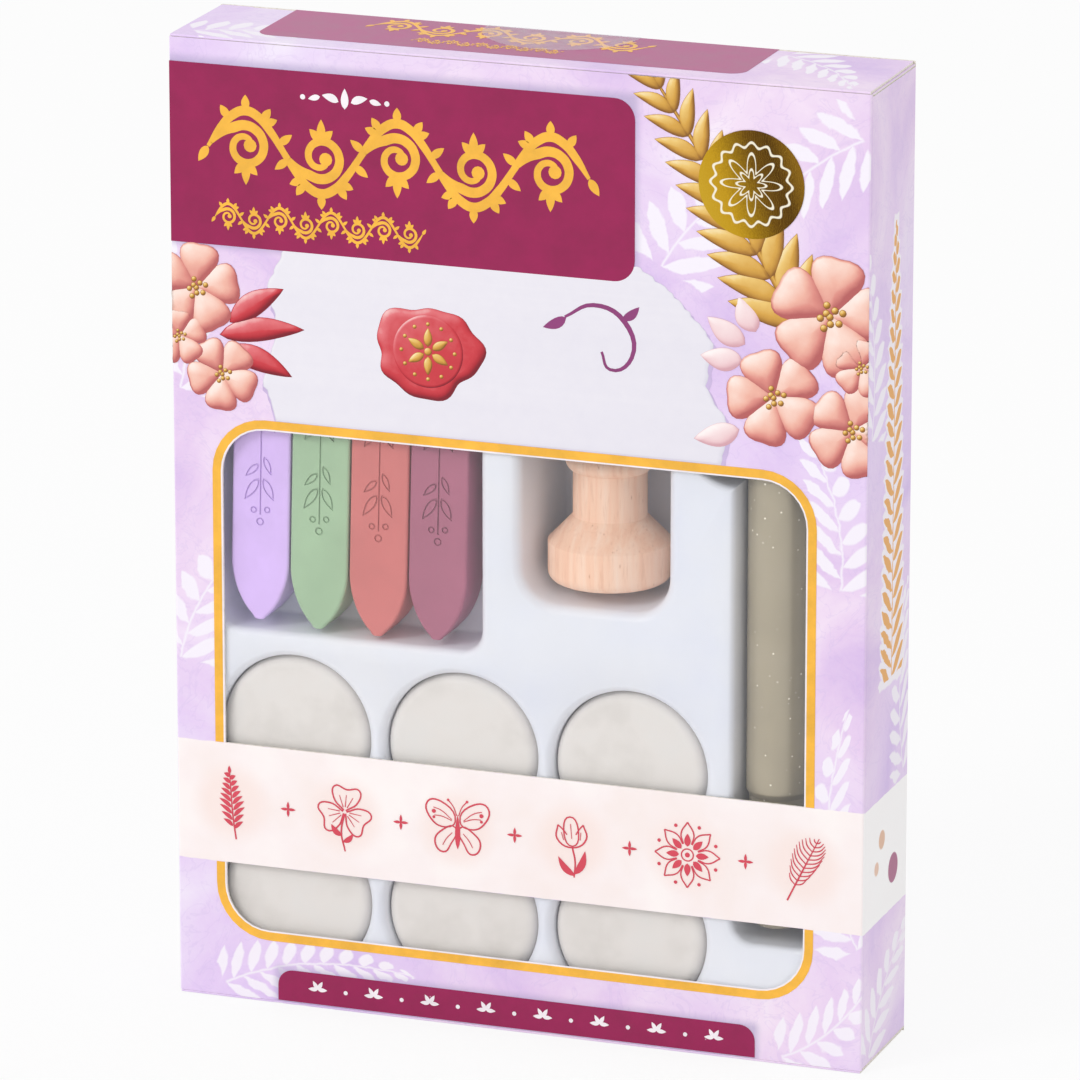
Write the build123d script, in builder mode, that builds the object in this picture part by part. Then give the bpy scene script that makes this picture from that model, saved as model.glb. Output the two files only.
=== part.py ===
from build123d import *
import os
from math import cos, radians, sin, tan

# A wax seal kit in a printed folding carton. The carton's front has a window that a
# bridge of board crosses, with a clear film behind it. A vacuum-formed tray behind the
# film holds four wax sticks, a turned wooden handle, six stamp heads and a marker.
# The frame: Z up, front face towards -Y, origin at the middle of the foot. Millimetres.

# Carton
carton_width = 135.0
carton_height = 185.0
carton_back_room = 1.05  # behind the tray's deepest pocket, for the leaflet
board = 0.45  # thickness of the board
fold_radius = 0.6  # outside radius of the upright folds
crease_gap = 0.03  # running gap at a crease

# Window, its bridge and its film
window_left = 57.7  # from the middle of the carton
window_right = 56.2
window_bottom = 13.8
window_top = 111.6
window_radius = 8.8
bridge_bottom = 26.8
bridge_top = 50.2
film = 0.15
film_lap = 5.0  # glued lap round the window
film_gap = 0.15  # between film and tray

# Glue flap of the back seam
glue_flap_width = 12.0
glue_flap_end = 10.0  # its root's distance from the carton's ends
glue_flap_slant = 6.0

# End closures
lid_side_inset = 0.35
lock_shoulder = 6.5  # lid tabs beside the tuck flap
lock_shoulder_step = 0.2
tuck_length = 11.0
tuck_lean = 8.0  # degrees that a closed tuck flap leans into the carton
tuck_side_taper = 1.5
tuck_corner = 5.0
tuck_play = 0.1  # between the closed lid and the back panel
tuck_swing = 40.0  # degrees that it folds further in as its lid opens
dust_reach = 22.0
dust_front_inset = 9.3  # at the free end of the slanted front edge
dust_back_inset = 3.4  # clear of the tuck flap's swing
dust_lock_length = 5.5
dust_side_play = 0.3
dust_corner = 2.5

# Stickers
foil_diameter = 20.0
foil_x = 45.0
foil_z = 166.2
foil_thickness = 0.12
seal_diameter = 30.0
seal_thickness = 0.1
seal_gap = 0.02

# Tray
wall = 0.4
tray_side_play = 0.7  # to the side panels, at the skirt's foot
tray_foot_play = 0.25  # to the closed bottom flaps
tray_head_room = 13.5  # from the tray's top edge to the carton's top
tray_corner = 4.0
skirt_depth = 12.0
skirt_draft = 4.0  # degrees
pocket_draft = 3.0
head_pocket_draft = 2.5
rest_gap = 0.25  # between a piece and the pocket it lies in
handle_floor_edge = 1.6  # broken edge of the deep pocket's floor

# Wax sticks
stick_count = 4
stick_width = 11.4
stick_thickness = 9.4
stick_length = 92.0
stick_gap = 0.3
stick_lean = 1.4  # degrees
stick_edge = 0.5
stick_point_length = 6.2
stick_point_flat = 1.3  # half width of the blunt point
stick_notch = 3.6
stick_recess = 1.15  # below the tray's flange
stick_spare_side = 5.6  # finger room beside the last stick
stick_spare_end = 3.0
stick_pocket_left = 7.0  # from the tray's left edge
stick_pocket_web = 4.0  # flange between the stamp heads and this pocket
stick_pocket_corner = 4.0
wick_radius = 0.8
wick_out = 3.5  # length that stands out of the notch
wick_depth = 80.0

# Handle
handle_base_radius = 11.5
handle_base_height = 7.6
handle_base_edge = 2.0
handle_neck_radius = 6.9
handle_cone_height = 4.8
handle_neck_height = 8.6
handle_bead_radius = 8.2
handle_bead_height = 3.4
handle_grip_radius = 10.6
handle_waist_radius = 7.4
handle_swell_height = 26.0
handle_length = 79.0
handle_pocket_web = 14.6
handle_foot_play = 2.8  # to the pocket's lower rim
handle_side_room = 2.8  # each side of the base, at the pocket's mouth
handle_side_shift = 0.8  # handle's axis to the left of its pocket's middle
handle_pocket_spare = 4.0
handle_pocket_corner = 7.0
handle_pocket_gap = 7.7  # flange between the stick pocket and this one

# Stamp heads
head_columns = 3
head_rows = 2
head_radius = 14.8
head_height = 10.0
head_face_edge = 2.2
head_back_edge = 0.8
head_socket_depth = 5.5
head_socket_play = 0.15
head_recess = 1.0
head_pocket_play = 0.75
head_web_x = 1.9  # flange between two columns of pockets
head_web_z = 1.0  # flange between the two rows
head_margin_x = 6.45  # from the tray's left edge to the first pocket
head_margin_z = 4.25  # from the tray's lower edge

# Marker
marker_radius = 6.0
marker_tail_radius = 5.4
marker_tail_length = 26.0
marker_length = 130.0
marker_bore = 4.7
marker_tail_plug = 12.0
marker_plug_dome = 3.0
marker_cap_length = 44.0
marker_cap_wall = 0.75
marker_cap_play = 0.06
marker_cap_travel = 12.5
marker_collar_length = 9.0
marker_cone_length = 15.0
marker_cone_tip = 2.6
marker_nib_radius = 1.5
marker_nib_out = 4.0
marker_reservoir_radius = 4.0
marker_reservoir_length = 62.0
marker_recess = 0.75
marker_x = 17.8  # axis, from the tray's right edge
marker_pocket_width = 16.0
marker_side_play = 0.68
marker_foot_z = 23.3  # from the tray's lower edge
marker_foot_play = 2.2
marker_pocket_corner = 4.0
finger_notch_radius = 9.0
finger_notch_z = 118.0
finger_notch_depth = 9.0

# Leaflet
leaflet_width = 112.0
leaflet_height = 148.0
leaflet_paper = 0.12
leaflet_layers = 3
leaflet_pitch = 0.2
leaflet_foot = 16.0
leaflet_x = 5.0
leaflet_back_gap = 0.1

# Places worked out from the sizes above. The handle is the thickest thing in the
# carton, so it sets the depth.
tray_depth = film + 2 * rest_gap + 2 * handle_base_radius + wall
carton_depth = board + tray_depth + carton_back_room + board
front_y = -carton_depth / 2
back_y = carton_depth / 2
front_inside = front_y + board
back_inside = back_y - board
side_inside = carton_width / 2 - board
film_back = front_inside + film
flange_y = film_back + film_gap
lid_level = board / 2  # depth of the lid's crease below the carton's end
dust_level = board + crease_gap + board / 2
side_edge = dust_level + board / 2 + crease_gap
tray_foot = dust_level + board / 2 + tray_foot_play
tray_top = carton_height - tray_head_room
tray_half = side_inside - tray_side_play
head_pocket_radius = head_radius + head_pocket_play
head_pitch_x = 2 * head_pocket_radius + head_web_x
head_pitch_z = 2 * head_pocket_radius + head_web_z
first_row_z = tray_foot + head_margin_z + head_pocket_radius
first_column_x = -tray_half + head_margin_x + head_pocket_radius
row_z = [first_row_z + row * head_pitch_z for row in range(head_rows)]
column_x = [first_column_x + n * head_pitch_x for n in range(head_columns)]
heads_top = row_z[-1] + head_pocket_radius

os.makedirs("parts", exist_ok=True)


def face(y):
    """The upright plane at y that looks out of the carton's front."""
    return Plane.XZ.offset(-y)


def save(piece, name):
    piece.part.label = name
    export_step(piece.part, f"parts/{name}.step")


def box_recess(left, foot, width, height, corner, depth, broken):
    """A tapered solid with round corners that reaches back from the flange."""
    with BuildPart() as solid:
        with BuildSketch(face(flange_y)):
            with Locations((left + width / 2, foot + height / 2)):
                RectangleRounded(width, height, corner)
        extrude(amount=depth, dir=(0, 1, 0), taper=pocket_draft)
        if broken > 0:
            chamfer(solid.faces().sort_by(Axis.Y)[-1].edges(), broken)
    return solid.part


def round_recess(x, z, radius, depth):
    """A tapered round solid that reaches back from the flange."""
    floor = radius - depth * sin(radians(head_pocket_draft))
    with BuildPart() as solid:
        with BuildSketch(Plane(origin=(x, flange_y, z), x_dir=(1, 0, 0), z_dir=(0, 0, 1))):
            with BuildLine():
                Polyline(
                    (0, 0),
                    (radius, 0),
                    (floor, depth),
                    (0, depth),
                    close=True,
                )
            make_face()
        revolve(axis=Axis((x, flange_y, z), (0, 1, 0)))
    return solid.part


# ---------------------------------------------------------------- carton sleeve
with BuildPart() as carton_sleeve:
    with BuildSketch():
        RectangleRounded(carton_width, carton_depth, fold_radius)
        RectangleRounded(
            carton_width - 2 * board,
            carton_depth - 2 * board,
            fold_radius - board,
            mode=Mode.SUBTRACT,
        )
    extrude(amount=carton_height)
    # The glue flap lies on the inside of the back panel.
    with BuildSketch(Plane.XZ.offset(-back_inside)):
        with BuildLine():
            Polyline(
                (-side_inside, glue_flap_end),
                (-side_inside + glue_flap_width, glue_flap_end + glue_flap_slant),
                (-side_inside + glue_flap_width, carton_height - glue_flap_end - glue_flap_slant),
                (-side_inside, carton_height - glue_flap_end),
                close=True,
            )
        make_face()
    extrude(amount=board)
    # The window, with its bridge left standing.
    with BuildSketch(face(front_y)):
        with Locations(((window_right - window_left) / 2, (window_top + window_bottom) / 2)):
            RectangleRounded(
                window_right + window_left, window_top - window_bottom, window_radius
            )
        with Locations((0, (bridge_top + bridge_bottom) / 2)):
            Rectangle(carton_width, bridge_top - bridge_bottom, mode=Mode.SUBTRACT)
    extrude(amount=board, dir=(0, 1, 0), mode=Mode.SUBTRACT)
    # Both ends: the front panel stops under the lid's crease, the side panels under
    # the dust flaps' creases, and only the back panel has its full height.
    for end_z, inward in ((carton_height, -1), (0.0, 1)):
        with BuildSketch(Plane.XY.offset(end_z)):
            with Locations((0, front_y)):
                Rectangle(carton_width, 2 * board)
        extrude(amount=inward * (board + crease_gap), mode=Mode.SUBTRACT)
        with BuildSketch(Plane.XY.offset(end_z)):
            Rectangle(carton_width, carton_depth - 2 * board)
        extrude(amount=inward * side_edge, mode=Mode.SUBTRACT)
save(carton_sleeve, "carton_sleeve")

# ------------------------------------------------------------------ window film
with BuildPart() as window_film:
    with BuildSketch(face(film_back)):
        with Locations(((window_right - window_left) / 2, (window_top + window_bottom) / 2)):
            Rectangle(
                window_right + window_left + 2 * film_lap,
                window_top - window_bottom + 2 * film_lap,
            )
    extrude(amount=film)
save(window_film, "window_film")

# ---------------------------------------------------------------- end closures
lid_half = carton_width / 2 - lid_side_inset
lid_crease_y = front_y + board / 2
tuck_half = lid_half - lock_shoulder
tuck_crease_y = back_inside - tuck_play - board / 2
tuck_lid_edge = tuck_crease_y - board / 2 - crease_gap
# The lid's inner side is bevelled along this crease, so that the flap can fold in.
folded_in = radians(tuck_lean + tuck_swing)
crease_room = board / 2 + crease_gap
bevel_run = crease_room / cos(folded_in) + board / 2 * tan(folded_in) - crease_room
bevel_rise = board / 2 + crease_room * (1 - cos(folded_in)) / sin(folded_in)
dust_crease_x = carton_width / 2 - board / 2
dust_half = carton_depth / 2 - board - dust_side_play

for end, end_z, inward in (("top", carton_height, -1), ("bottom", 0.0, 1)):
    lid_z = end_z + inward * lid_level
    dust_z = end_z + inward * dust_level

    with BuildPart() as lid:
        with BuildSketch(Plane.XY.offset(lid_z)):
            with Locations((0, lid_crease_y)):
                Rectangle(
                    2 * lid_half, tuck_lid_edge - lid_crease_y, align=(Align.CENTER, Align.MIN)
                )
            # The shoulders reach past the crease of the tuck flap.
            for side in (-1, 1):
                with Locations((side * (lid_half - lock_shoulder / 2), tuck_lid_edge)):
                    Rectangle(
                        lock_shoulder - lock_shoulder_step,
                        2 * (tuck_crease_y + board / 2 - tuck_lid_edge),
                    )
        extrude(amount=board / 2, both=True)
        inner_face = lid.faces().filter_by(Axis.Z).sort_by(Axis.Z)[0 if inward < 0 else -1]
        crease_edges = inner_face.edges().filter_by(Axis.X)
        crease_edge = crease_edges.sort_by(Edge.length)[-2:].sort_by(Axis.Y)[-1]
        chamfer(crease_edge, bevel_run, bevel_rise, reference=inner_face)
        with BuildSketch(Plane.YZ.offset(-lid_half)):
            with Locations((lid_crease_y, lid_z)):
                Circle(board / 2)
        extrude(amount=2 * lid_half)
    save(lid, f"{end}_lid")

    lean = radians(tuck_lean)
    flap_plane = Plane(
        origin=(0, tuck_crease_y, lid_z),
        x_dir=(1, 0, 0),
        z_dir=(0, -inward * cos(lean), -sin(lean)),
    )
    with BuildPart() as tuck_flap:
        with BuildSketch(flap_plane):
            with BuildLine():
                Polyline(
                    (-tuck_half, 0),
                    (tuck_half, 0),
                    (tuck_half - tuck_side_taper, tuck_length),
                    (-tuck_half + tuck_side_taper, tuck_length),
                    close=True,
                )
            outline = make_face()
            fillet(outline.vertices().group_by(Axis.Z)[0 if inward < 0 else -1], tuck_corner)
        extrude(amount=board / 2, both=True)
        with BuildSketch(Plane.YZ.offset(-tuck_half)):
            with Locations((tuck_crease_y, lid_z)):
                Circle(board / 2)
        extrude(amount=2 * tuck_half)
    save(tuck_flap, f"{end}_tuck_flap")

    for side_name, side in (("left", -1), ("right", 1)):
        free_x = side * (dust_crease_x - dust_reach)
        lock_x = side * (dust_crease_x - dust_lock_length)
        with BuildPart() as dust_flap:
            with BuildSketch(Plane.XY.offset(dust_z)):
                with BuildLine():
                    Polyline(
                        (side * dust_crease_x, -dust_half),
                        (free_x, -dust_half + dust_front_inset),
                        (free_x, dust_half - dust_back_inset),
                        (lock_x, dust_half - dust_back_inset),
                        (lock_x, dust_half),
                        (side * dust_crease_x, dust_half),
                        close=True,
                    )
                outline = make_face()
                tip = outline.vertices().group_by(Axis.X)[0 if side > 0 else -1]
                fillet(tip, dust_corner)
            extrude(amount=board / 2, both=True)
            with BuildSketch(Plane.XZ.offset(dust_half)):
                with Locations((side * dust_crease_x, dust_z)):
                    Circle(board / 2)
            extrude(amount=-2 * dust_half)
        save(dust_flap, f"{end}_dust_flap_{side_name}")

# -------------------------------------------------------------------- stickers
with BuildPart() as foil_sticker:
    with BuildSketch(face(front_y)):
        with Locations((foil_x, foil_z)):
            Circle(foil_diameter / 2)
    extrude(amount=foil_thickness)
save(foil_sticker, "foil_sticker")

# The clear wafer folds over the lid's back edge and down the back panel.
seal_face_y = back_y + seal_gap
with BuildPart() as wafer_seal:
    with BuildSketch(Plane.XY.offset(carton_height)):
        with Locations((0, seal_face_y)):
            Circle(seal_diameter / 2)
            Rectangle(
                seal_diameter,
                seal_diameter,
                align=(Align.CENTER, Align.MAX),
                mode=Mode.INTERSECT,
            )
    extrude(amount=seal_thickness)
    with BuildSketch(face(seal_face_y)):
        with Locations((0, carton_height + seal_thickness)):
            Circle(seal_diameter / 2)
            Rectangle(
                seal_diameter,
                seal_diameter,
                align=(Align.CENTER, Align.MAX),
                mode=Mode.INTERSECT,
            )
    extrude(amount=seal_thickness, dir=(0, 1, 0))
save(wafer_seal, "wafer_seal")

# ------------------------------------------------------------------------ tray
stick_pocket_width = stick_count * stick_width + (stick_count - 1) * stick_gap + stick_spare_side
stick_pocket_x = -tray_half + stick_pocket_left
stick_pocket_z = heads_top + stick_pocket_web
stick_pocket_height = stick_length + stick_spare_end
stick_front = flange_y + stick_recess
stick_pocket_depth = stick_recess + stick_thickness + rest_gap

handle_pocket_x = stick_pocket_x + stick_pocket_width + handle_pocket_gap
handle_pocket_z = heads_top + handle_pocket_web
handle_pocket_width = 2 * (handle_base_radius + handle_side_room)
handle_pocket_height = handle_length + handle_foot_play + handle_pocket_spare
handle_x = handle_pocket_x + handle_pocket_width / 2 - handle_side_shift
handle_y = film_back + rest_gap + handle_base_radius
handle_z = handle_pocket_z + handle_foot_play
handle_pocket_depth = handle_y + handle_base_radius + rest_gap - flange_y

marker_axis_x = tray_half - marker_x
marker_axis_y = flange_y + marker_recess + marker_radius
marker_z = tray_foot + marker_foot_z
marker_pocket_x = marker_axis_x - marker_radius - marker_side_play
marker_pocket_z = marker_z - marker_foot_play
marker_pocket_height = marker_foot_play + marker_length + marker_cap_travel + 2 * rest_gap
marker_pocket_depth = marker_recess + 2 * marker_radius + rest_gap

head_front = flange_y + head_recess
head_pocket_depth = head_recess + head_height + rest_gap

# (left, foot, width, height, corner radius, depth, broken floor edge)
box_pockets = [
    (
        stick_pocket_x,
        stick_pocket_z,
        stick_pocket_width,
        stick_pocket_height,
        stick_pocket_corner,
        stick_pocket_depth,
        0,
    ),
    (
        handle_pocket_x,
        handle_pocket_z,
        handle_pocket_width,
        handle_pocket_height,
        handle_pocket_corner,
        handle_pocket_depth,
        handle_floor_edge,
    ),
    (
        marker_pocket_x,
        marker_pocket_z,
        marker_pocket_width,
        marker_pocket_height,
        marker_pocket_corner,
        marker_pocket_depth,
        0,
    ),
]

hollows = []
shells = []
for left, foot, width, height, corner, depth, broken in box_pockets:
    hollows.append(box_recess(left, foot, width, height, corner, depth, broken))
    shells.append(
        box_recess(
            left - wall,
            foot - wall,
            width + 2 * wall,
            height + 2 * wall,
            corner + wall,
            depth + wall,
            broken,
        )
    )
round_pockets = [(x, z, head_pocket_radius, head_pocket_depth) for x in column_x for z in row_z]
round_pockets.append((marker_pocket_x, finger_notch_z, finger_notch_radius, finger_notch_depth))
for x, z, radius, depth in round_pockets:
    hollows.append(round_recess(x, z, radius, depth))
    shells.append(round_recess(x, z, radius + wall, depth + wall))

tray_height = tray_top - tray_foot
flare = skirt_depth * tan(radians(skirt_draft))
with BuildPart() as blister_tray:
    # A flange with a skirt that flares towards the back.
    with BuildSketch(face(flange_y)):
        with Locations((0, tray_foot + tray_height / 2)):
            RectangleRounded(
                2 * (tray_half - flare), tray_height - 2 * flare, tray_corner - flare
            )
    extrude(amount=skirt_depth, dir=(0, 1, 0), taper=-skirt_draft)
    with BuildSketch(face(flange_y + wall)):
        with Locations((0, tray_foot + tray_height / 2)):
            RectangleRounded(
                2 * (tray_half - flare - wall),
                tray_height - 2 * flare - 2 * wall,
                tray_corner - flare - wall,
            )
    extrude(amount=skirt_depth, dir=(0, 1, 0), taper=-skirt_draft, mode=Mode.SUBTRACT)
    for shell in shells:
        add(shell)
    for hollow in hollows:
        add(hollow, mode=Mode.SUBTRACT)
save(blister_tray, "blister_tray")

# ------------------------------------------------------------------ wax sticks
stick_names = ["lilac", "green", "red", "plum"]
stick_pitch = (stick_width + stick_gap) / cos(radians(stick_lean))
stick_inset = rest_gap + stick_pocket_depth * sin(radians(pocket_draft))
stick_first_x = stick_pocket_x + stick_inset + stick_width / 2
stick_foot_z = stick_pocket_z + stick_inset
stick_drop = [0.9, 0.2, 0.0, 0.5]  # how far each lies above the lowest
for n, colour in enumerate(stick_names[:stick_count]):
    lean = radians(stick_lean)
    stick_plane = Plane(
        origin=(stick_first_x + n * stick_pitch, stick_front, stick_foot_z + stick_drop[n]),
        x_dir=(cos(lean), 0, -sin(lean)),
        z_dir=(0, -1, 0),
    )
    middle_plane = stick_plane.offset(-stick_thickness / 2)
    half = stick_width / 2
    wick_foot = stick_length - stick_notch - wick_depth
    wick_top = stick_length - stick_notch + wick_out
    with BuildPart() as wax_stick:
        with BuildSketch(stick_plane):
            with BuildLine():
                Line((-stick_point_flat, 0), (stick_point_flat, 0))
                ThreePointArc(
                    (stick_point_flat, 0),
                    (stick_point_flat + 0.63 * (half - stick_point_flat), 0.43 * stick_point_length),
                    (half, stick_point_length),
                )
                Polyline(
                    (half, stick_point_length),
                    (half, stick_length),
                    (-half, stick_length),
                    (-half, stick_point_length),
                )
                ThreePointArc(
                    (-half, stick_point_length),
                    (-stick_point_flat - 0.63 * (half - stick_point_flat), 0.43 * stick_point_length),
                    (-stick_point_flat, 0),
                )
            make_face()
        extrude(amount=-stick_thickness)
        chamfer(wax_stick.edges().filter_by(Axis((0, 0, 0), stick_plane.y_dir)), stick_edge)
        # The upper end is notched round the wick.
        with BuildSketch(stick_plane):
            with BuildLine():
                Polyline(
                    (half, stick_length),
                    (0, stick_length - stick_notch),
                    (-half, stick_length),
                    close=True,
                )
            make_face()
        extrude(amount=-stick_thickness, mode=Mode.SUBTRACT)
        with BuildSketch(middle_plane):
            with Locations((0, wick_foot)):
                Rectangle(wick_radius, wick_top - wick_foot, align=(Align.MIN, Align.MIN))
        wick_axis = Axis(middle_plane.origin, middle_plane.y_dir)
        revolve(axis=wick_axis, mode=Mode.SUBTRACT)
    save(wax_stick, f"wax_stick_{colour}")
    with BuildPart() as wick:
        with BuildSketch(middle_plane):
            with Locations((0, wick_foot)):
                Rectangle(wick_radius, wick_top - wick_foot, align=(Align.MIN, Align.MIN))
        revolve(axis=wick_axis)
    save(wick, f"wick_{colour}")

# ---------------------------------------------------------------- wooden handle
cone_z = handle_base_height
neck_z = cone_z + handle_cone_height
bead_z = neck_z + handle_neck_height
waist_z = bead_z + handle_bead_height
grip_z = waist_z + handle_swell_height
dome_z = handle_length - handle_grip_radius
handle_plane = Plane(origin=(handle_x, handle_y, handle_z), x_dir=(1, 0, 0), z_dir=(0, -1, 0))
with BuildPart() as wooden_handle:
    with BuildSketch(handle_plane):
        with BuildLine():
            Line((0, 0), (handle_base_radius - handle_base_edge, 0))
            RadiusArc(
                (handle_base_radius - handle_base_edge, 0),
                (handle_base_radius, handle_base_edge),
                -handle_base_edge,
            )
            Polyline(
                (handle_base_radius, handle_base_edge),
                (handle_base_radius, cone_z),
                (handle_neck_radius, neck_z),
                (handle_neck_radius, bead_z),
            )
            ThreePointArc(
                (handle_neck_radius, bead_z),
                (handle_bead_radius, bead_z + 0.45 * handle_bead_height),
                (handle_waist_radius, waist_z),
            )
            TangentArc((handle_grip_radius, grip_z), (handle_waist_radius, waist_z), tangent=(0, -1))
            Line((handle_grip_radius, grip_z), (handle_grip_radius, dome_z))
            RadiusArc((handle_grip_radius, dome_z), (0, handle_length), -handle_grip_radius)
            Line((0, handle_length), (0, 0))
        make_face()
    revolve(axis=Axis(handle_plane.origin, handle_plane.y_dir))
save(wooden_handle, "wooden_handle")

# ------------------------------------------------------------------ stamp heads
socket_radius = handle_base_radius + head_socket_play
head_number = 0
for z in reversed(row_z):
    for x in column_x:
        head_number += 1
        head_plane = Plane(origin=(x, head_front, z), x_dir=(1, 0, 0), z_dir=(0, 0, 1))
        with BuildPart() as stamp_head:
            with BuildSketch(head_plane):
                with BuildLine():
                    Line((0, 0), (head_radius - head_face_edge, 0))
                    RadiusArc(
                        (head_radius - head_face_edge, 0),
                        (head_radius, head_face_edge),
                        -head_face_edge,
                    )
                    Polyline(
                        (head_radius, head_face_edge),
                        (head_radius, head_height - head_back_edge),
                        (head_radius - head_back_edge, head_height),
                        (socket_radius, head_height),
                        (socket_radius, head_height - head_socket_depth),
                        (0, head_height - head_socket_depth),
                        (0, 0),
                    )
                make_face()
            revolve(axis=Axis(head_plane.origin, (0, 1, 0)))
        save(stamp_head, f"stamp_head_{head_number}")

# ----------------------------------------------------------------------- marker
cap_z = marker_length - marker_cap_length
cap_bore = marker_radius - marker_cap_wall
spigot_radius = cap_bore - marker_cap_play
cone_foot_z = cap_z + marker_collar_length
cone_top_z = cone_foot_z + marker_cone_length
shoulder = marker_radius - marker_tail_radius
marker_plane = Plane(
    origin=(marker_axis_x, marker_axis_y, marker_z), x_dir=(1, 0, 0), z_dir=(0, -1, 0)
)
marker_axis = Axis(marker_plane.origin, marker_plane.y_dir)

with BuildPart() as marker_barrel:
    with BuildSketch(marker_plane):
        with BuildLine():
            Polyline(
                (marker_bore, marker_plug_dome),
                (marker_tail_radius, marker_plug_dome),
                (marker_tail_radius, marker_tail_length - shoulder),
                (marker_radius, marker_tail_length + shoulder),
                (marker_radius, cap_z),
                (marker_bore, cap_z),
                close=True,
            )
        make_face()
    revolve(axis=marker_axis)
    edges_out = marker_barrel.edges().filter_by(GeomType.CIRCLE).group_by(SortBy.RADIUS)[-1]
    fillet(edges_out.sort_by(Axis.Z)[0], shoulder)
save(marker_barrel, "marker_barrel")

with BuildPart() as marker_tail_cap:
    with BuildSketch(marker_plane):
        with BuildLine():
            Line((0, 0), (marker_tail_radius - marker_plug_dome, 0))
            RadiusArc(
                (marker_tail_radius - marker_plug_dome, 0),
                (marker_tail_radius, marker_plug_dome),
                -marker_plug_dome,
            )
            Polyline(
                (marker_tail_radius, marker_plug_dome),
                (marker_bore, marker_plug_dome),
                (marker_bore, marker_tail_plug),
                (0, marker_tail_plug),
                (0, 0),
            )
        make_face()
    revolve(axis=marker_axis)
save(marker_tail_cap, "marker_tail_cap")

with BuildPart() as marker_reservoir:
    with BuildSketch(marker_plane):
        with Locations((0, marker_tail_plug)):
            Rectangle(
                marker_reservoir_radius, marker_reservoir_length, align=(Align.MIN, Align.MIN)
            )
    revolve(axis=marker_axis)
save(marker_reservoir, "marker_reservoir")

with BuildPart() as marker_front_section:
    with BuildSketch(marker_plane):
        with BuildLine():
            Polyline(
                (marker_nib_radius, marker_tail_plug + marker_reservoir_length),
                (marker_bore, marker_tail_plug + marker_reservoir_length),
                (marker_bore, cap_z),
                (spigot_radius, cap_z),
                (spigot_radius, cone_foot_z),
                (marker_cone_tip, cone_top_z),
                (marker_nib_radius, cone_top_z),
                close=True,
            )
        make_face()
    revolve(axis=marker_axis)
save(marker_front_section, "marker_front_section")

with BuildPart() as marker_nib:
    nib_foot = marker_tail_plug + marker_reservoir_length
    nib_tip = cone_top_z + marker_nib_out
    with BuildSketch(marker_plane):
        with BuildLine():
            Polyline(
                (0, nib_foot),
                (marker_nib_radius, nib_foot),
                (marker_nib_radius, nib_tip - marker_nib_radius),
            )
            RadiusArc(
                (marker_nib_radius, nib_tip - marker_nib_radius), (0, nib_tip), -marker_nib_radius
            )
            Line((0, nib_tip), (0, nib_foot))
        make_face()
    revolve(axis=marker_axis)
save(marker_nib, "marker_nib")

with BuildPart() as marker_cap:
    cap_foot = cap_z + crease_gap
    cap_roof = marker_length - 2 * marker_cap_wall
    with BuildSketch(marker_plane):
        with BuildLine():
            Polyline(
                (0, marker_length),
                (0, cap_roof),
                (cap_bore - marker_cap_wall, cap_roof),
                (cap_bore, cap_roof - marker_cap_wall),
                (cap_bore, cap_foot),
                (marker_radius, cap_foot),
                (marker_radius, marker_length - marker_plug_dome),
            )
            RadiusArc(
                (marker_radius, marker_length - marker_plug_dome),
                (marker_radius - marker_plug_dome, marker_length),
                -marker_plug_dome,
            )
            Line((marker_radius - marker_plug_dome, marker_length), (0, marker_length))
        make_face()
    revolve(axis=marker_axis)
save(marker_cap, "marker_cap")

# ---------------------------------------------------------------------- leaflet
# One sheet folded to and fro, seen from above as a zigzag of layers.
leaflet_y = back_inside - leaflet_back_gap - leaflet_paper / 2
half_leaflet = leaflet_width / 2
with BuildPart() as instruction_leaflet:
    with BuildSketch(Plane.XY.offset(leaflet_foot)):
        for layer in range(leaflet_layers):
            with Locations((leaflet_x, leaflet_y - layer * leaflet_pitch)):
                Rectangle(leaflet_width, leaflet_paper)
        for turn in range(leaflet_layers - 1):
            side = 1 if turn % 2 == 0 else -1
            with Locations(
                (leaflet_x + side * half_leaflet, leaflet_y - (turn + 0.5) * leaflet_pitch)
            ):
                Rectangle(leaflet_paper, leaflet_pitch + leaflet_paper)
    extrude(amount=leaflet_height)
save(instruction_leaflet, "instruction_leaflet")
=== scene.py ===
import random
from math import atan2, ceil, cos, hypot, pi, radians, sin, sqrt, tan

import bmesh
import bpy
from mathutils import Matrix, Vector, noise


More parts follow.
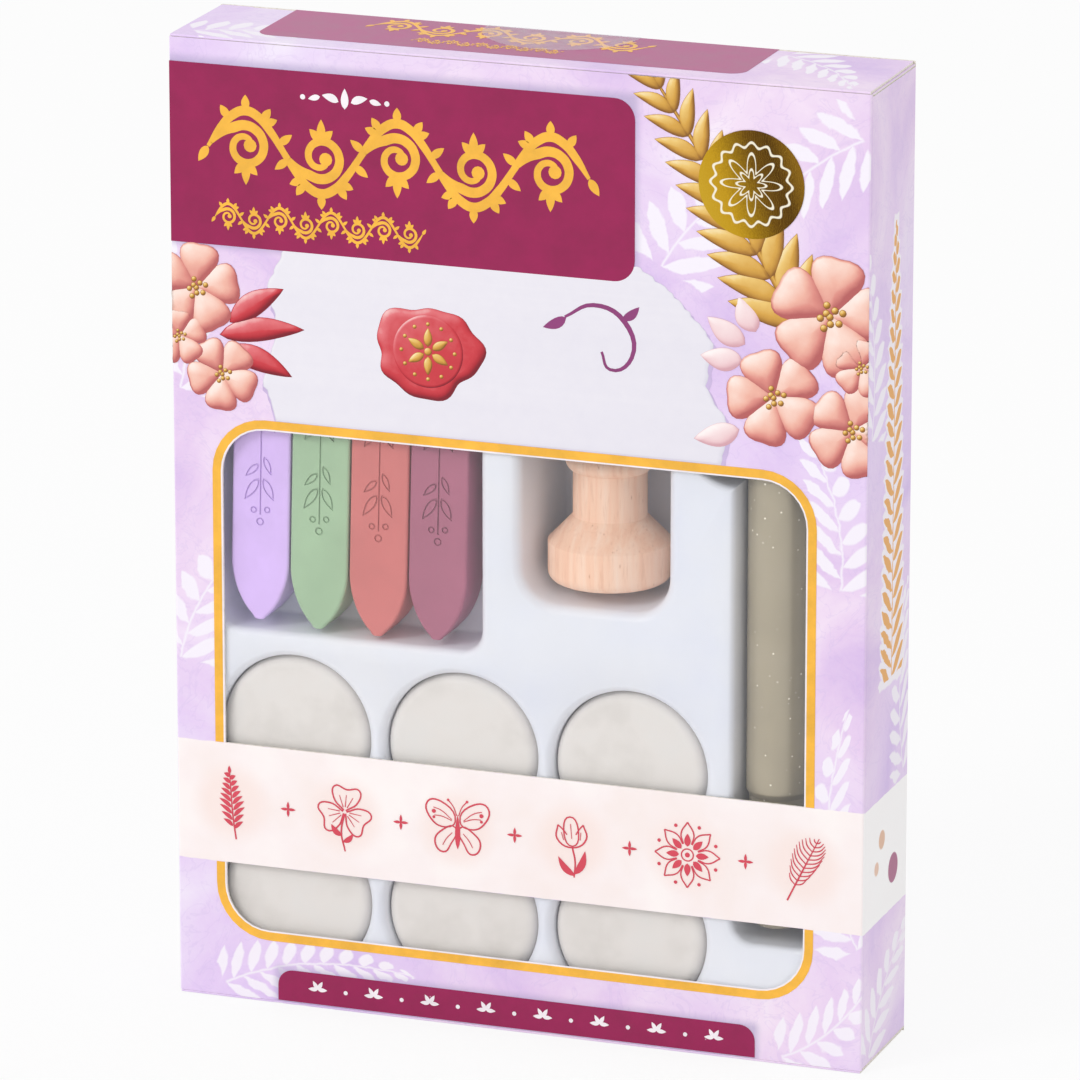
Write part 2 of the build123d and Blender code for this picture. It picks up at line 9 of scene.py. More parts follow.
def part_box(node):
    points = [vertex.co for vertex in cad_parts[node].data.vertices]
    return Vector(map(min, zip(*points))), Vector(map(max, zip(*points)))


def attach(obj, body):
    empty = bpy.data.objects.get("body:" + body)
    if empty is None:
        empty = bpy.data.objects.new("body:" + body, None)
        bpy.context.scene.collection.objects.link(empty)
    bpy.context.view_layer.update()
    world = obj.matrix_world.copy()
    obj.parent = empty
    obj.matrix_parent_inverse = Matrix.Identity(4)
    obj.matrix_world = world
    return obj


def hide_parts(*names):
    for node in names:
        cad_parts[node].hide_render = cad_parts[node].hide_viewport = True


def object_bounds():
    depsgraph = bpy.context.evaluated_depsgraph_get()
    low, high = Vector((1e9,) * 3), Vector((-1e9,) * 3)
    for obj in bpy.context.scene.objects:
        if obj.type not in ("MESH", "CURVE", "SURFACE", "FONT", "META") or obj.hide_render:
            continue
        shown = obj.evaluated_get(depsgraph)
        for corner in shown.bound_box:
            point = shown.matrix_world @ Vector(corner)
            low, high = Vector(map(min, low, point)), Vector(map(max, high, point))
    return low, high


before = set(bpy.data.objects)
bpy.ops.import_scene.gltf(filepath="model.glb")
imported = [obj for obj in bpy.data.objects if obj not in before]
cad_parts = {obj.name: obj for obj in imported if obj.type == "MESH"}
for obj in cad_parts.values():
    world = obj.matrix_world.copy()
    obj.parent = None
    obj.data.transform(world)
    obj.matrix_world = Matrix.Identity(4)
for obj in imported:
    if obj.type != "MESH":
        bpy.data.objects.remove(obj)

bl_info = {
    "name": "Wax seal set box",
    "version": (1, 0, 0),
    "blender": (4, 5, 0),
    "location": "3D View > Sidebar > Wax seal set",
    "description": "A window carton with its tray, wax sticks, stamp heads, handle and marker",
    "category": "Add Mesh",
}

CASE_LOW, CASE_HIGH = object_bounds()
BOARD_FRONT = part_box("carton_sleeve")[0].y
BOARD_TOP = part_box("top_lid")[1].z
LEFT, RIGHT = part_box("carton_sleeve")[0].x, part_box("carton_sleeve")[1].x


def linear(shade):
    """An sRGB hex colour as the linear RGBA that a socket or a property holds."""
    parts = [int(shade[n : n + 2], 16) / 255 for n in (1, 3, 5)]
    return (*[p / 12.92 if p <= 0.04045 else ((p + 0.055) / 1.055) ** 2.4 for p in parts], 1.0)


def mm(size):
    """Millimetres as metres."""
    return size / 1000


def length(name, description, size):
    """A property for a length, given in millimetres."""
    return bpy.props.FloatProperty(
        name=name, description=description, default=mm(size), min=0.0, subtype="DISTANCE", unit="LENGTH"
    )


def tint(name, description, shade):
    """A property for a colour."""
    return bpy.props.FloatVectorProperty(
        name=name, description=description, default=linear(shade), size=4, min=0.0, max=1.0, subtype="COLOR"
    )


class WaxBoxPrint(bpy.types.PropertyGroup):
    """Printed carton: colours and sizes of its artwork"""

    wash: tint("Lilac wash", "Base colour of the painted ground", "#E7CFF5")
    wash_deep: tint("Deep wash", "Darker patches of the painted ground", "#D6BBEE")
    wash_pale: tint("Pale wash", "Lightest patches and leaf sprays", "#F8F2FC")
    band: tint("Band", "Cream bridge across the window", "#FDF3F2")
    raw: tint("Raw board", "Inside and cut edges of the board", "#EFE9DF")
    burgundy: tint("Burgundy", "Title panel and labels", "#970F50")
    gold: tint("Printed gold", "Ornament and window border", "#F7B93F")
    motif_ink: tint("Motif ink", "Line motifs on the band", "#D9485A")
    border_width: length("Border width", "Width of the gold line round the window", 1.65)
    title_height: length("Title panel height", "Height of the burgundy title panel", 34.0)
    title_width: length("Title panel width", "Width of the burgundy title panel", 90.3)
    label_width: length("Label width", "Width of the burgundy foot label", 94.3)
    label_height: length("Label height", "Height of the burgundy foot label", 6.8)
    motif_height: length("Motif height", "Height of a line motif on the band", 14.0)


class WaxBoxContents(bpy.types.PropertyGroup):
    """Contents: colours and sizes of what the tray holds"""

    tray: tint("Tray", "White formed sheet", "#F2F5FF")
    head: tint("Stamp head", "Matte rubbery face", "#EAE5E0")
    lilac: tint("Lilac wax", "First stick", "#E3C4FF")
    green: tint("Green wax", "Second stick", "#A9C7A2")
    red: tint("Red wax", "Third stick", "#D87A76")
    plum: tint("Plum wax", "Fourth stick", "#B06880")
    beech: tint("Beech", "Turned handle", "#FFD9BF")
    bronze: tint("Marker", "Metallic lacquer of the marker", "#B0A58D")
    sheet: length("Tray sheet", "Thickness of the formed sheet", 0.4)
    mouth: length("Mouth rounding", "Rounding of a round pocket's mouth", 1.8)
    flange_round: length("Outer rounding", "Rounding of the tray's outer edge", 1.2)
    groove: length("Groove", "Width of the lines pressed into the wax", 0.30)


class WaxBoxStudio(bpy.types.PropertyGroup):
    """Studio: floor, light and camera"""

    floor: tint("Floor", "Colour of the floor", "#F2F2F2")
    floor_size: length("Floor size", "Side of the square floor", 8000.0)
    world_light: bpy.props.FloatProperty(
        name="World light", description="Strength of the light from all round", default=0.84, min=0.0
    )
    key_light: bpy.props.FloatProperty(
        name="Key light", description="Power of the soft lamp in front", default=13.0, min=0.0, unit="POWER"
    )
    lens: bpy.props.FloatProperty(
        name="Lens", description="Focal length", default=0.292, min=0.001, unit="CAMERA"
    )


# ------------------------------------------------------------------ materials


def add(tree, kind, inputs=None, stops=None, **settings):
    """Adds a node with its settings, what its inputs hold or are fed by, and a ramp's stops."""
    node = tree.nodes.new(kind)
    for name, value in settings.items():
        setattr(node, name, value)
    for name, value in (inputs or {}).items():
        socket = node.inputs[name]
        if isinstance(value, bpy.types.Node):
            value = next(s for s in value.outputs if s.enabled)
        if isinstance(value, bpy.types.NodeSocket):
            tree.links.new(value, socket)
        else:
            socket.default_value = value
    if stops:
        steps = node.color_ramp.elements
        steps.remove(steps[1])
        steps[0].position = stops[0][0]
        for at, _ in stops[1:]:
            steps.new(at)
        for step, (_, shade) in zip(steps, stops):
            step.color = linear(shade) if isinstance(shade, str) else shade
    return node


def new_material(name):
    """An empty node material and its tree."""
    made = bpy.data.materials.new(name)
    made.use_nodes = True
    made.node_tree.nodes.clear()
    return made, made.node_tree


def cover(material, *names):
    """Gives CAD nodes this material."""
    for name in names:
        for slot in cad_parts[name].material_slots:
            slot.material = material


def painted_wash(tree, place, sizes):
    """Watercolour ground: soft patches, blooms with darker rims and fine grain of the paper."""
    patches = add(
        tree,
        "ShaderNodeTexNoise",
        {"Vector": place, "Scale": 1000 / 30, "Detail": 5.0, "Roughness": 0.55, "Distortion": 0.8},
    )
    ground = add(
        tree,
        "ShaderNodeValToRGB",
        {"Fac": patches},
        stops=[
            (0.30, sizes.wash_deep),
            (0.47, sizes.wash),
            (0.62, linear("#EDDCF8")),
            (0.80, sizes.wash_pale),
        ],
    )
    rosy = add(
        tree,
        "ShaderNodeValToRGB",
        {"Fac": patches},
        stops=[(0.30, "#D9BBEA"), (0.48, "#EACFF0"), (0.64, "#F5E0F5"), (0.82, "#FCF4FC")],
    )
    regions = add(tree, "ShaderNodeTexNoise", {"Vector": place, "Scale": 1000 / 75, "Detail": 2.0})
    warmth = add(tree, "ShaderNodeMapRange", {"Value": regions, "From Min": 0.46, "From Max": 0.60, "To Max": 0.85})
    ground = add(tree, "ShaderNodeMix", {0: warmth, 6: ground, 7: rosy}, data_type="RGBA")
    blooms = add(
        tree,
        "ShaderNodeTexNoise",
        {"Vector": place, "Scale": 1000 / 11, "Detail": 3.0, "Roughness": 0.6, "Distortion": 2.2},
    )
    rims = add(
        tree,
        "ShaderNodeValToRGB",
        {"Fac": blooms},
        stops=[(0.47, "#000000"), (0.50, "#FFFFFF"), (0.505, "#FFFFFF"), (0.52, "#000000")],
    )
    weak = add(tree, "ShaderNodeMath", {0: rims, 1: 0.22}, operation="MULTIPLY")
    rimmed = add(
        tree, "ShaderNodeMix", {0: weak, 6: ground, 7: linear("#CDB6E6")}, data_type="RGBA"
    )
    grain = add(
        tree, "ShaderNodeTexNoise", {"Vector": place, "Scale": 1000 / 1.1, "Detail": 3.0, "Roughness": 0.7}
    )
    speck = add(
        tree,
        "ShaderNodeMapRange",
        {"Value": grain, "From Min": 0.3, "From Max": 0.7, "To Min": 0.0, "To Max": 0.09},
    )
    return add(
        tree, "ShaderNodeMix", {0: speck, 6: rimmed, 7: linear("#FBF7FE")}, data_type="RGBA"
    )


def leaf_spray(tree, u, v, x, y, turn, reach, leaf, bend):
    """How deep in a painted spray of paired leaves a point of a panel lies, in mm.

    u and v are the panel's coordinates in mm, (x, y) is the stem's foot, turn its direction in
    degrees, reach its length, leaf the longest leaf and bend the stem's curvature."""
    c, s = cos(radians(turn)), sin(radians(turn))
    part = add(tree, "ShaderNodeMath", {0: v, 1: s, 2: -x * c - y * s}, operation="MULTIPLY_ADD")
    along = add(tree, "ShaderNodeMath", {0: u, 1: c, 2: part}, operation="MULTIPLY_ADD")
    part = add(tree, "ShaderNodeMath", {0: v, 1: c, 2: x * s - y * c}, operation="MULTIPLY_ADD")
    side = add(tree, "ShaderNodeMath", {0: u, 1: -s, 2: part}, operation="MULTIPLY_ADD")
    square = add(tree, "ShaderNodeMath", {0: along, 1: along}, operation="MULTIPLY")
    side = add(tree, "ShaderNodeMath", {0: square, 1: bend, 2: side}, operation="MULTIPLY_ADD")
    out = add(tree, "ShaderNodeMath", {0: side}, operation="ABSOLUTE")
    left = add(
        tree,
        "ShaderNodeMapRange",
        {"Value": along, "From Min": 0.0, "From Max": reach, "To Min": 1.0, "To Max": 0.0},
    )
    grown = add(tree, "ShaderNodeMath", {0: left, 1: 0.5}, operation="POWER")
    span = add(tree, "ShaderNodeMath", {0: grown, 1: leaf, 2: 0.01}, operation="MULTIPLY_ADD")
    portion = add(tree, "ShaderNodeMath", {0: out, 1: span}, operation="DIVIDE", use_clamp=True)
    rest = add(tree, "ShaderNodeMath", {0: 1.0, 1: portion}, operation="SUBTRACT")
    body = add(tree, "ShaderNodeMath", {0: portion, 1: rest}, operation="MULTIPLY")
    plump = add(tree, "ShaderNodeMath", {0: body, 1: leaf * 0.75}, operation="MULTIPLY")
    swept = add(tree, "ShaderNodeMath", {0: out, 1: -0.75, 2: along}, operation="MULTIPLY_ADD")
    one_side = add(tree, "ShaderNodeMath", {0: side, 1: 0.0}, operation="GREATER_THAN")
    pitch = leaf * 0.52
    shifted = add(
        tree, "ShaderNodeMath", {0: one_side, 1: pitch / 2, 2: swept}, operation="MULTIPLY_ADD"
    )
    nearest = add(
        tree, "ShaderNodeMath", {0: shifted, 1: pitch / 2}, operation="PINGPONG"
    )
    past = add(tree, "ShaderNodeMath", {0: out, 1: span}, operation="SUBTRACT")
    beyond = add(tree, "ShaderNodeMath", {0: past, 1: 0.0}, operation="MAXIMUM")
    blade = add(tree, "ShaderNodeMath", {0: plump, 1: nearest}, operation="SUBTRACT")
    blade = add(tree, "ShaderNodeMath", {0: beyond, 1: -1.5, 2: blade}, operation="MULTIPLY_ADD")
    stem = add(tree, "ShaderNodeMath", {0: 0.22, 1: out}, operation="SUBTRACT")
    either = add(tree, "ShaderNodeMath", {0: blade, 1: stem}, operation="MAXIMUM")
    ahead = add(tree, "ShaderNodeMath", {0: reach, 1: along}, operation="SUBTRACT")
    ends = add(tree, "ShaderNodeMath", {0: along, 1: ahead}, operation="MINIMUM")
    return add(tree, "ShaderNodeMath", {0: either, 1: ends}, operation="MINIMUM")


# ------------------------------------------------------------------ modelling


def only(*chosen):
    """Leaves nothing selected but these objects."""
    bpy.ops.object.select_all(action="DESELECT")
    for one in chosen:
        one.select_set(True)
    bpy.context.view_layer.objects.active = chosen[0]


def settle(piece):
    """Puts an object's place, turn and size into its mesh."""
    only(piece)
    bpy.ops.object.transform_apply(location=True, rotation=True, scale=True)
    return piece


def join(name, parts):
    """Several meshes as one piece."""
    only(*parts)
    if len(parts) > 1:
        bpy.ops.object.join()
    piece = bpy.context.object
    piece.name = piece.data.name = name
    return piece


def copied(piece, move, turn=0.0, axis="Y", size=1.0):
    """A copy with its own mesh, turned about the origin, sized and then moved."""
    twin = piece.copy()
    twin.data = piece.data.copy()
    bpy.context.scene.collection.objects.link(twin)
    twin.data.transform(Matrix.Translation(move) @ Matrix.Rotation(turn, 4, axis) @ Matrix.Scale(size, 4))
    return twin


def select_where(kind, test):
    """In edit mode, leaves only the vertices, edges or faces selected that pass the test."""
    bpy.ops.mesh.select_mode(type=kind)
    bpy.ops.mesh.select_all(action="DESELECT")
    shape = bmesh.from_edit_mesh(bpy.context.object.data)
    found = {"VERT": shape.verts, "EDGE": shape.edges, "FACE": shape.faces}[kind]
    for one in found:
        if test(one):
            one.select_set(True)
    shape.select_flush_mode()
    bmesh.update_edit_mesh(bpy.context.object.data)


def middle(face):
    return face.calc_center_median()


def cut(block, tool):
    """Takes a tool's shape out of a block, for good."""
    only(block)
    bite = block.modifiers.new("bite", "BOOLEAN")
    bite.object = tool
    bite.operation = "DIFFERENCE"
    bite.solver = "EXACT"
    bpy.ops.object.modifier_apply(modifier=bite.name)
    bpy.data.objects.remove(tool)


def stepped(profile):
    """From one selected face, insets on along a profile of (outward, forward) steps in mm."""
    for (out, deep), (next_out, next_deep) in zip(profile, profile[1:]):
        narrower = out - next_out
        bpy.ops.mesh.inset(
            thickness=mm(abs(narrower)),
            depth=mm(next_deep - deep),
            use_outset=narrower < 0,
            use_even_offset=True,
        )


def arc(start, end, steps):
    """Angles from start to end in degrees, as radians."""
    return [radians(start + (end - start) * n / steps) for n in range(steps + 1)]


def rounded_face(wide, high, corner, steps=10):
    """A flat face with round corners round the origin, left in edit mode and selected."""
    bpy.ops.object.select_all(action="DESELECT")
    bpy.ops.mesh.primitive_plane_add(size=1)
    face = bpy.context.object
    face.scale = (mm(wide), mm(high), 1)
    settle(face)
    bpy.ops.object.mode_set(mode="EDIT")
    bpy.ops.mesh.select_all(action="SELECT")
    bpy.ops.mesh.bevel(offset=mm(corner), offset_type="OFFSET", segments=steps, affect="VERTICES")
    bpy.ops.mesh.select_mode(type="FACE")
    bpy.ops.mesh.select_all(action="SELECT")
    return face


def round_face(radius, around=96):
    """A flat disc round the origin, left in edit mode and selected."""
    bpy.ops.object.select_all(action="DESELECT")
    bpy.ops.mesh.primitive_circle_add(vertices=around, radius=mm(radius), fill_type="NGON")
    face = bpy.context.object
    bpy.ops.object.mode_set(mode="EDIT")
    bpy.ops.mesh.select_mode(type="FACE")
    bpy.ops.mesh.select_all(action="SELECT")
    return face


def close_and_leave():
    """Closes the open edge of the piece in edit mode, turns its faces out and leaves edit mode."""
    bpy.ops.mesh.select_mode(type="EDGE")
    bpy.ops.mesh.select_all(action="DESELECT")
    bpy.ops.mesh.select_non_manifold()
    bpy.ops.mesh.edge_face_add()
    bpy.ops.mesh.select_all(action="SELECT")
    bpy.ops.mesh.normals_make_consistent(inside=False)
    bpy.ops.object.mode_set(mode="OBJECT")


def smooth(piece, angle=40):
    only(piece)
    bpy.ops.object.shade_smooth_by_angle(angle=radians(angle))


# ---------------------------------------------------------------- flat artwork


def leaf(x, y, turn, long, wide, curl=0.0, points=7):
    """Outline of a leaf in mm: its foot at (x, y), its tip at turn degrees, bent by curl."""
    edge = []
    for sign in (1, -1):
        for n in range(points):
            t = n / points if sign > 0 else 1 - n / points
            half = wide / 2 * sin(pi * t**0.8) ** 0.85
            edge.append((t * long, sign * half + curl * sin(pi * t)))
    c, s = cos(radians(turn)), sin(radians(turn))
    return [(x + a * c - b * s, y + a * s + b * c) for a, b in edge]


def disc(x, y, radius, points=16):
    """Outline of a disc in mm."""
    return [(x + radius * cos(2 * pi * n / points), y + radius * sin(2 * pi * n / points)) for n in range(points)]


def rounded(x0, y0, x1, y1, corners, points=8):
    """Outline of a rectangle in mm, with a radius for each corner from the lower left round."""
    edge = []
    places = [(x0, y0, 180), (x1, y0, 270), (x1, y1, 0), (x0, y1, 90)]
    for (x, y, start), radius in zip(places, corners):
        if radius == 0:
            edge.append((x, y))
            continue
        cx = x + radius if x == x0 else x - radius
        cy = y + radius if y == y0 else y - radius
        edge += [(cx + radius * cos(a), cy + radius * sin(a)) for a in arc(start, start + 90, points)]
    return edge


def curl(x, y, radius, start, turns, thick, thin):
    """A pen stroke in mm that winds inwards round (x, y)."""
    steps = 14
    line = []
    for n in range(steps + 1):
        t = n / steps
        r = radius * (1 - t) ** 0.75 + radius * 0.22 * t
        a = radians(start) + turns * 2 * pi * t
        line.append((x + r * cos(a), y + r * sin(a), thick + (thin - thick) * t))
    return line


def shifted(art, x, y, size=1.0, turn=0.0):
    """Outlines and strokes moved to (x, y) in mm."""
    c, s = size * cos(radians(turn)), size * sin(radians(turn))
    outlines, strokes = art
    return (
        [[(x + a * c - b * s, y + a * s + b * c) for a, b in line] for line in outlines],
        [[(x + a * c - b * s, y + a * s + b * c, w * size) for a, b, w in line] for line in strokes],
    )


def curve_object(flat):
    """An empty curve object."""
    bpy.ops.object.select_all(action="DESELECT")
    bpy.ops.curve.primitive_bezier_curve_add()
    line = bpy.context.object
    line.data.splines.clear()
    line.data.dimensions = "2D" if flat else "3D"
    return line


def inked(name, outlines=(), strokes=(), thick=0.02, fine=5):
    """Filled outlines and pen strokes, given in mm, as one thin mesh on the ground plane."""
    parts = []
    for n, outline in enumerate(outlines):
        shape = curve_object(True)
        shape.location.z = mm(0.003 * (n % 5))
        shape.data.fill_mode = "BOTH"
        shape.data.extrude = mm(thick / 2)
        edge = shape.data.splines.new("POLY")
        edge.points.add(len(outline) - 1)
        for point, (x, y) in zip(edge.points, outline):
            point.co = (mm(x), mm(y), 0, 1)
        edge.use_cyclic_u = True
        parts.append(shape)
    if strokes:
        pen = curve_object(False)
        pen.data.bevel_depth = mm(1)
        pen.data.bevel_resolution = 0
        pen.data.resolution_u = fine
        pen.data.use_fill_caps = True
        for stroke in strokes:
            line = pen.data.splines.new("BEZIER")
            closed = stroke[0][:2] == stroke[-1][:2]
            points = stroke[:-1] if closed else stroke
            line.bezier_points.add(len(points) - 1)
            line.use_cyclic_u = closed
            for point, (x, y, width) in zip(line.bezier_points, points):
                point.co = (mm(x), mm(y), 0)
                point.handle_left_type = point.handle_right_type = "AUTO"
                point.radius = width / 2
        parts.append(pen)
    only(*parts)
    bpy.ops.object.convert(target="MESH")
    if strokes:
        pen.scale.z = thick / 2
        settle(pen)
    piece = join(name, parts)
    settle(piece)
    bpy.ops.object.shade_flat()
    return piece


def on_front(piece, level):
    """Turns flat artwork up onto the front, level mm in front of the board."""
    piece.rotation_euler = (pi / 2, 0, 0)
    piece.location = (0, BOARD_FRONT - mm(level), 0)
    return settle(piece)


def on_lid(piece, level):
    """Lifts flat artwork onto the lid, level mm above the board."""
    piece.location = (0, 0, BOARD_TOP + mm(level))
    return settle(piece)


def printed(piece, material, body="carton"):
    """Gives artwork its ink and fixes it to a body."""
    piece.data.materials.clear()
    piece.data.materials.append(material)
    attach(piece, body)
    return piece

# ------------------------------------------------------------------ finishes


def ink(name, shade, gloss=0.36, mottle=0.10):
    """Printed ink: an even colour with faint press mottle, scuffs and satin varnish."""
    made, tree = new_material(name)
    place = add(tree, "ShaderNodeTexCoord").outputs["Object"]
    press = add(tree, "ShaderNodeTexNoise", {"Vector": place, "Scale": 1000 / 6, "Detail": 6.0, "Roughness": 0.65})
    shift = add(
        tree,
        "ShaderNodeMapRange",
        {"Value": press, "From Min": 0.3, "From Max": 0.7, "To Min": 1 - mottle, "To Max": 1 + mottle},
    )
    varied = add(tree, "ShaderNodeHueSaturation", {"Value": shift, "Color": shade})
    dust = add(tree, "ShaderNodeTexVoronoi", {"Vector": place, "Scale": 1000 / 3.4, "Randomness": 1.0})
    spots = add(
        tree,
        "ShaderNodeMapRange",
        {"Value": dust.outputs["Distance"], "From Min": 0.018, "From Max": 0.05, "To Min": 0.55, "To Max": 0.0},
    )
    rare = add(tree, "ShaderNodeSeparateColor", {"Color": dust.outputs["Color"]})
    few = add(tree, "ShaderNodeMath", {0: rare.outputs["Red"], 1: 0.93}, operation="GREATER_THAN")
    scuff = add(tree, "ShaderNodeMath", {0: spots, 1: few}, operation="MULTIPLY")
    wear_and_shade = add(tree, "ShaderNodeMix", {0: scuff, 6: varied, 7: linear("#F4E9F2")}, data_type="RGBA")
    rough = add(
        tree,
        "ShaderNodeMapRange",
        {"Value": press, "From Min": 0.3, "From Max": 0.7, "To Min": gloss - 0.05, "To Max": gloss + 0.06},
    )
    bump = add(tree, "ShaderNodeBump", {"Strength": 0.08, "Distance": mm(0.05), "Height": press})
    shader = add(
        tree,
        "ShaderNodeBsdfPrincipled",
        {"Base Color": wear_and_shade, "Roughness": rough, "Normal": bump, "Specular IOR Level": 0.4},
    )
    add(tree, "ShaderNodeOutputMaterial", {"Surface": shader})
    return made


def board(name, sizes, outward, sprays=(), gold_vine=(), band=False, spots=(), shades=()):
    """Printed carton board: painted ground outside, raw board on cut edges and inside.

    outward lists the printed sides as (axis, sign, least distance in mm), sprays and gold_vine
    list leaf sprays as (panel, x, y, turn, reach, leaf, bend), spots discs as
    (panel, x, y, radius, fade, colour), and shades rectangles on the front, as (left, lower,
    right, upper), that a soft shade surrounds."""
    made, tree = new_material(name)
    look = add(tree, "ShaderNodeTexCoord")
    place = look.outputs["Object"]
    at = add(tree, "ShaderNodeSeparateXYZ", {"Vector": place})
    facing = add(tree, "ShaderNodeSeparateXYZ", {"Vector": look.outputs["Normal"]})
    printed_side = None
    sides = {}
    for axis, sign, least in outward:
        turned = add(tree, "ShaderNodeMath", {0: facing.outputs[axis], 1: sign}, operation="MULTIPLY")
        away = add(tree, "ShaderNodeMath", {0: at.outputs[axis], 1: sign}, operation="MULTIPLY")
        square_on = add(tree, "ShaderNodeMath", {0: turned, 1: 0.35}, operation="GREATER_THAN")
        far_out = add(tree, "ShaderNodeMath", {0: away, 1: mm(least)}, operation="GREATER_THAN")
        this = add(tree, "ShaderNodeMath", {0: square_on, 1: far_out}, operation="MULTIPLY")
        sides[axis + ("+" if sign > 0 else "-")] = this
        printed_side = (
            this
            if printed_side is None
            else add(tree, "ShaderNodeMath", {0: printed_side, 1: this}, operation="MAXIMUM")
        )
    ground = painted_wash(tree, place, sizes)
    wobble = add(tree, "ShaderNodeTexNoise", {"Vector": place, "Scale": 1000 / 2.2, "Detail": 3.0})
    sway = add(tree, "ShaderNodeMath", {0: wobble, 1: 1.1, 2: -0.55}, operation="MULTIPLY_ADD")
    across = {}

    def over(art, colour, edges):
        nonlocal ground
        panel, x, y, turn, reach, blade, bend = art
        first, second = {"Y-": "XZ", "Y+": "XZ", "X+": "YZ", "X-": "YZ", "Z+": "XY", "Z-": "XY"}[panel]
        if panel not in across:
            u = add(tree, "ShaderNodeMath", {0: at.outputs[first], 1: 1000.0, 2: sway}, operation="MULTIPLY_ADD")
            v = add(tree, "ShaderNodeMath", {0: at.outputs[second], 1: 1000.0, 2: sway}, operation="MULTIPLY_ADD")
            across[panel] = u, v
        near = leaf_spray(tree, *across[panel], x, y, turn, reach, blade, bend)
        for colour, low, high in edges:
            share = add(
                tree,
                "ShaderNodeMapRange",
                {"Value": near, "From Min": low, "From Max": high},
                interpolation_type="SMOOTHSTEP",
            )
            here = add(tree, "ShaderNodeMath", {0: share, 1: sides[panel]}, operation="MULTIPLY")
            ground = add(tree, "ShaderNodeMix", {0: here, 6: ground, 7: colour}, data_type="RGBA")

    for spray in sprays:
        over(spray, None, [(sizes.wash_pale, -0.25, 0.3)])
    for vine in gold_vine:
        over(vine, None, [(linear("#F8F2FA"), -1.5, -0.9), (linear("#E9A64A"), -0.1, 0.15)])
    for edges in shades:
        past = []
        for axis, least, most in (("X", edges[0], edges[2]), ("Z", edges[1], edges[3])):
            below = add(tree, "ShaderNodeMath", {0: mm(least), 1: at.outputs[axis]}, operation="SUBTRACT")
            above = add(tree, "ShaderNodeMath", {0: at.outputs[axis], 1: mm(most)}, operation="SUBTRACT")
            further = add(tree, "ShaderNodeMath", {0: below, 1: above}, operation="MAXIMUM")
            past.append(add(tree, "ShaderNodeMath", {0: further, 1: 0.0}, operation="MAXIMUM"))
        flat = add(tree, "ShaderNodeCombineXYZ", {0: past[0], 1: past[1]})
        away = add(tree, "ShaderNodeVectorMath", {0: flat}, operation="LENGTH")
        share = add(
            tree,
            "ShaderNodeMapRange",
            {"Value": away.outputs["Value"], "From Min": mm(2.2), "From Max": 0.0, "To Max": 0.6},
            interpolation_type="SMOOTHSTEP",
        )
        here = add(tree, "ShaderNodeMath", {0: share, 1: sides["Y-"]}, operation="MULTIPLY")
        ground = add(tree, "ShaderNodeMix", {0: here, 6: ground, 7: linear("#A99FC4")}, data_type="RGBA")
    if band:
        up = add(tree, "ShaderNodeMath", {0: at.outputs["Z"], 1: mm(38.5)}, operation="SUBTRACT")
        apart = add(tree, "ShaderNodeMath", {0: up}, operation="ABSOLUTE")
        rough_edge = add(tree, "ShaderNodeMath", {0: sway, 1: mm(0.35), 2: apart}, operation="MULTIPLY_ADD")
        inside = add(
            tree,
            "ShaderNodeMapRange",
            {"Value": rough_edge, "From Min": mm(11.75), "From Max": mm(11.65)},
        )
        front_or_side = add(
            tree, "ShaderNodeMath", {0: sides["Y-"], 1: sides["X+"]}, operation="MAXIMUM"
        )
        here = add(tree, "ShaderNodeMath", {0: inside, 1: front_or_side}, operation="MULTIPLY")
        soft = add(tree, "ShaderNodeTexNoise", {"Vector": place, "Scale": 1000 / 16, "Detail": 3.0})
        cream = add(
            tree,
            "ShaderNodeValToRGB",
            {"Fac": soft},
            stops=[(0.35, "#FBEFEC"), (0.5, sizes.band), (0.65, "#FFF8F6")],
        )
        # painted light: on the right side the cream band is painted whiter than on the front
        side_painted_light = add(tree, "ShaderNodeMath", {0: sides["X+"], 1: 0.8}, operation="MULTIPLY")
        cream = add(tree, "ShaderNodeMix", {0: side_painted_light, 6: cream, 7: linear("#FFFFFF")}, data_type="RGBA")
        ground = add(tree, "ShaderNodeMix", {0: here, 6: ground, 7: cream}, data_type="RGBA")
    for panel, x, y, radius, fade, colour in spots:
        first, second = {"Y-": "XZ", "X+": "YZ"}[panel]
        off = [
            add(tree, "ShaderNodeMath", {0: at.outputs[axis], 1: mm(value)}, operation="SUBTRACT")
            for axis, value in ((first, x), (second, y))
        ]
        flat = add(tree, "ShaderNodeCombineXYZ", {0: off[0], 1: off[1]})
        away = add(tree, "ShaderNodeVectorMath", {0: flat}, operation="LENGTH")
        share = add(
            tree,
            "ShaderNodeMapRange",
            {"Value": away.outputs["Value"], "From Min": mm(radius + fade), "From Max": mm(radius)},
            interpolation_type="SMOOTHSTEP",
        )
        here = add(tree, "ShaderNodeMath", {0: share, 1: sides[panel]}, operation="MULTIPLY")
        ground = add(tree, "ShaderNodeMix", {0: here, 6: ground, 7: linear(colour)}, data_type="RGBA")
    creases = None
    for axis, half in (("X", 67.5), ("Y", 13.0)):
        size = add(tree, "ShaderNodeMath", {0: at.outputs[axis]}, operation="ABSOLUTE")
        near = add(
            tree,
            "ShaderNodeMapRange",
            {"Value": size, "From Min": mm(half - 0.35), "From Max": mm(half)},
        )
        creases = near if creases is None else add(
            tree, "ShaderNodeMath", {0: creases, 1: near}, operation="MULTIPLY"
        )
    rubbed = add(tree, "ShaderNodeMath", {0: creases, 1: wobble}, operation="MULTIPLY")
    rub = add(tree, "ShaderNodeMath", {0: rubbed, 1: 1.3}, operation="MULTIPLY", use_clamp=True)
    ground = add(tree, "ShaderNodeMix", {0: rub, 6: ground, 7: linear("#F8F3F7")}, data_type="RGBA")
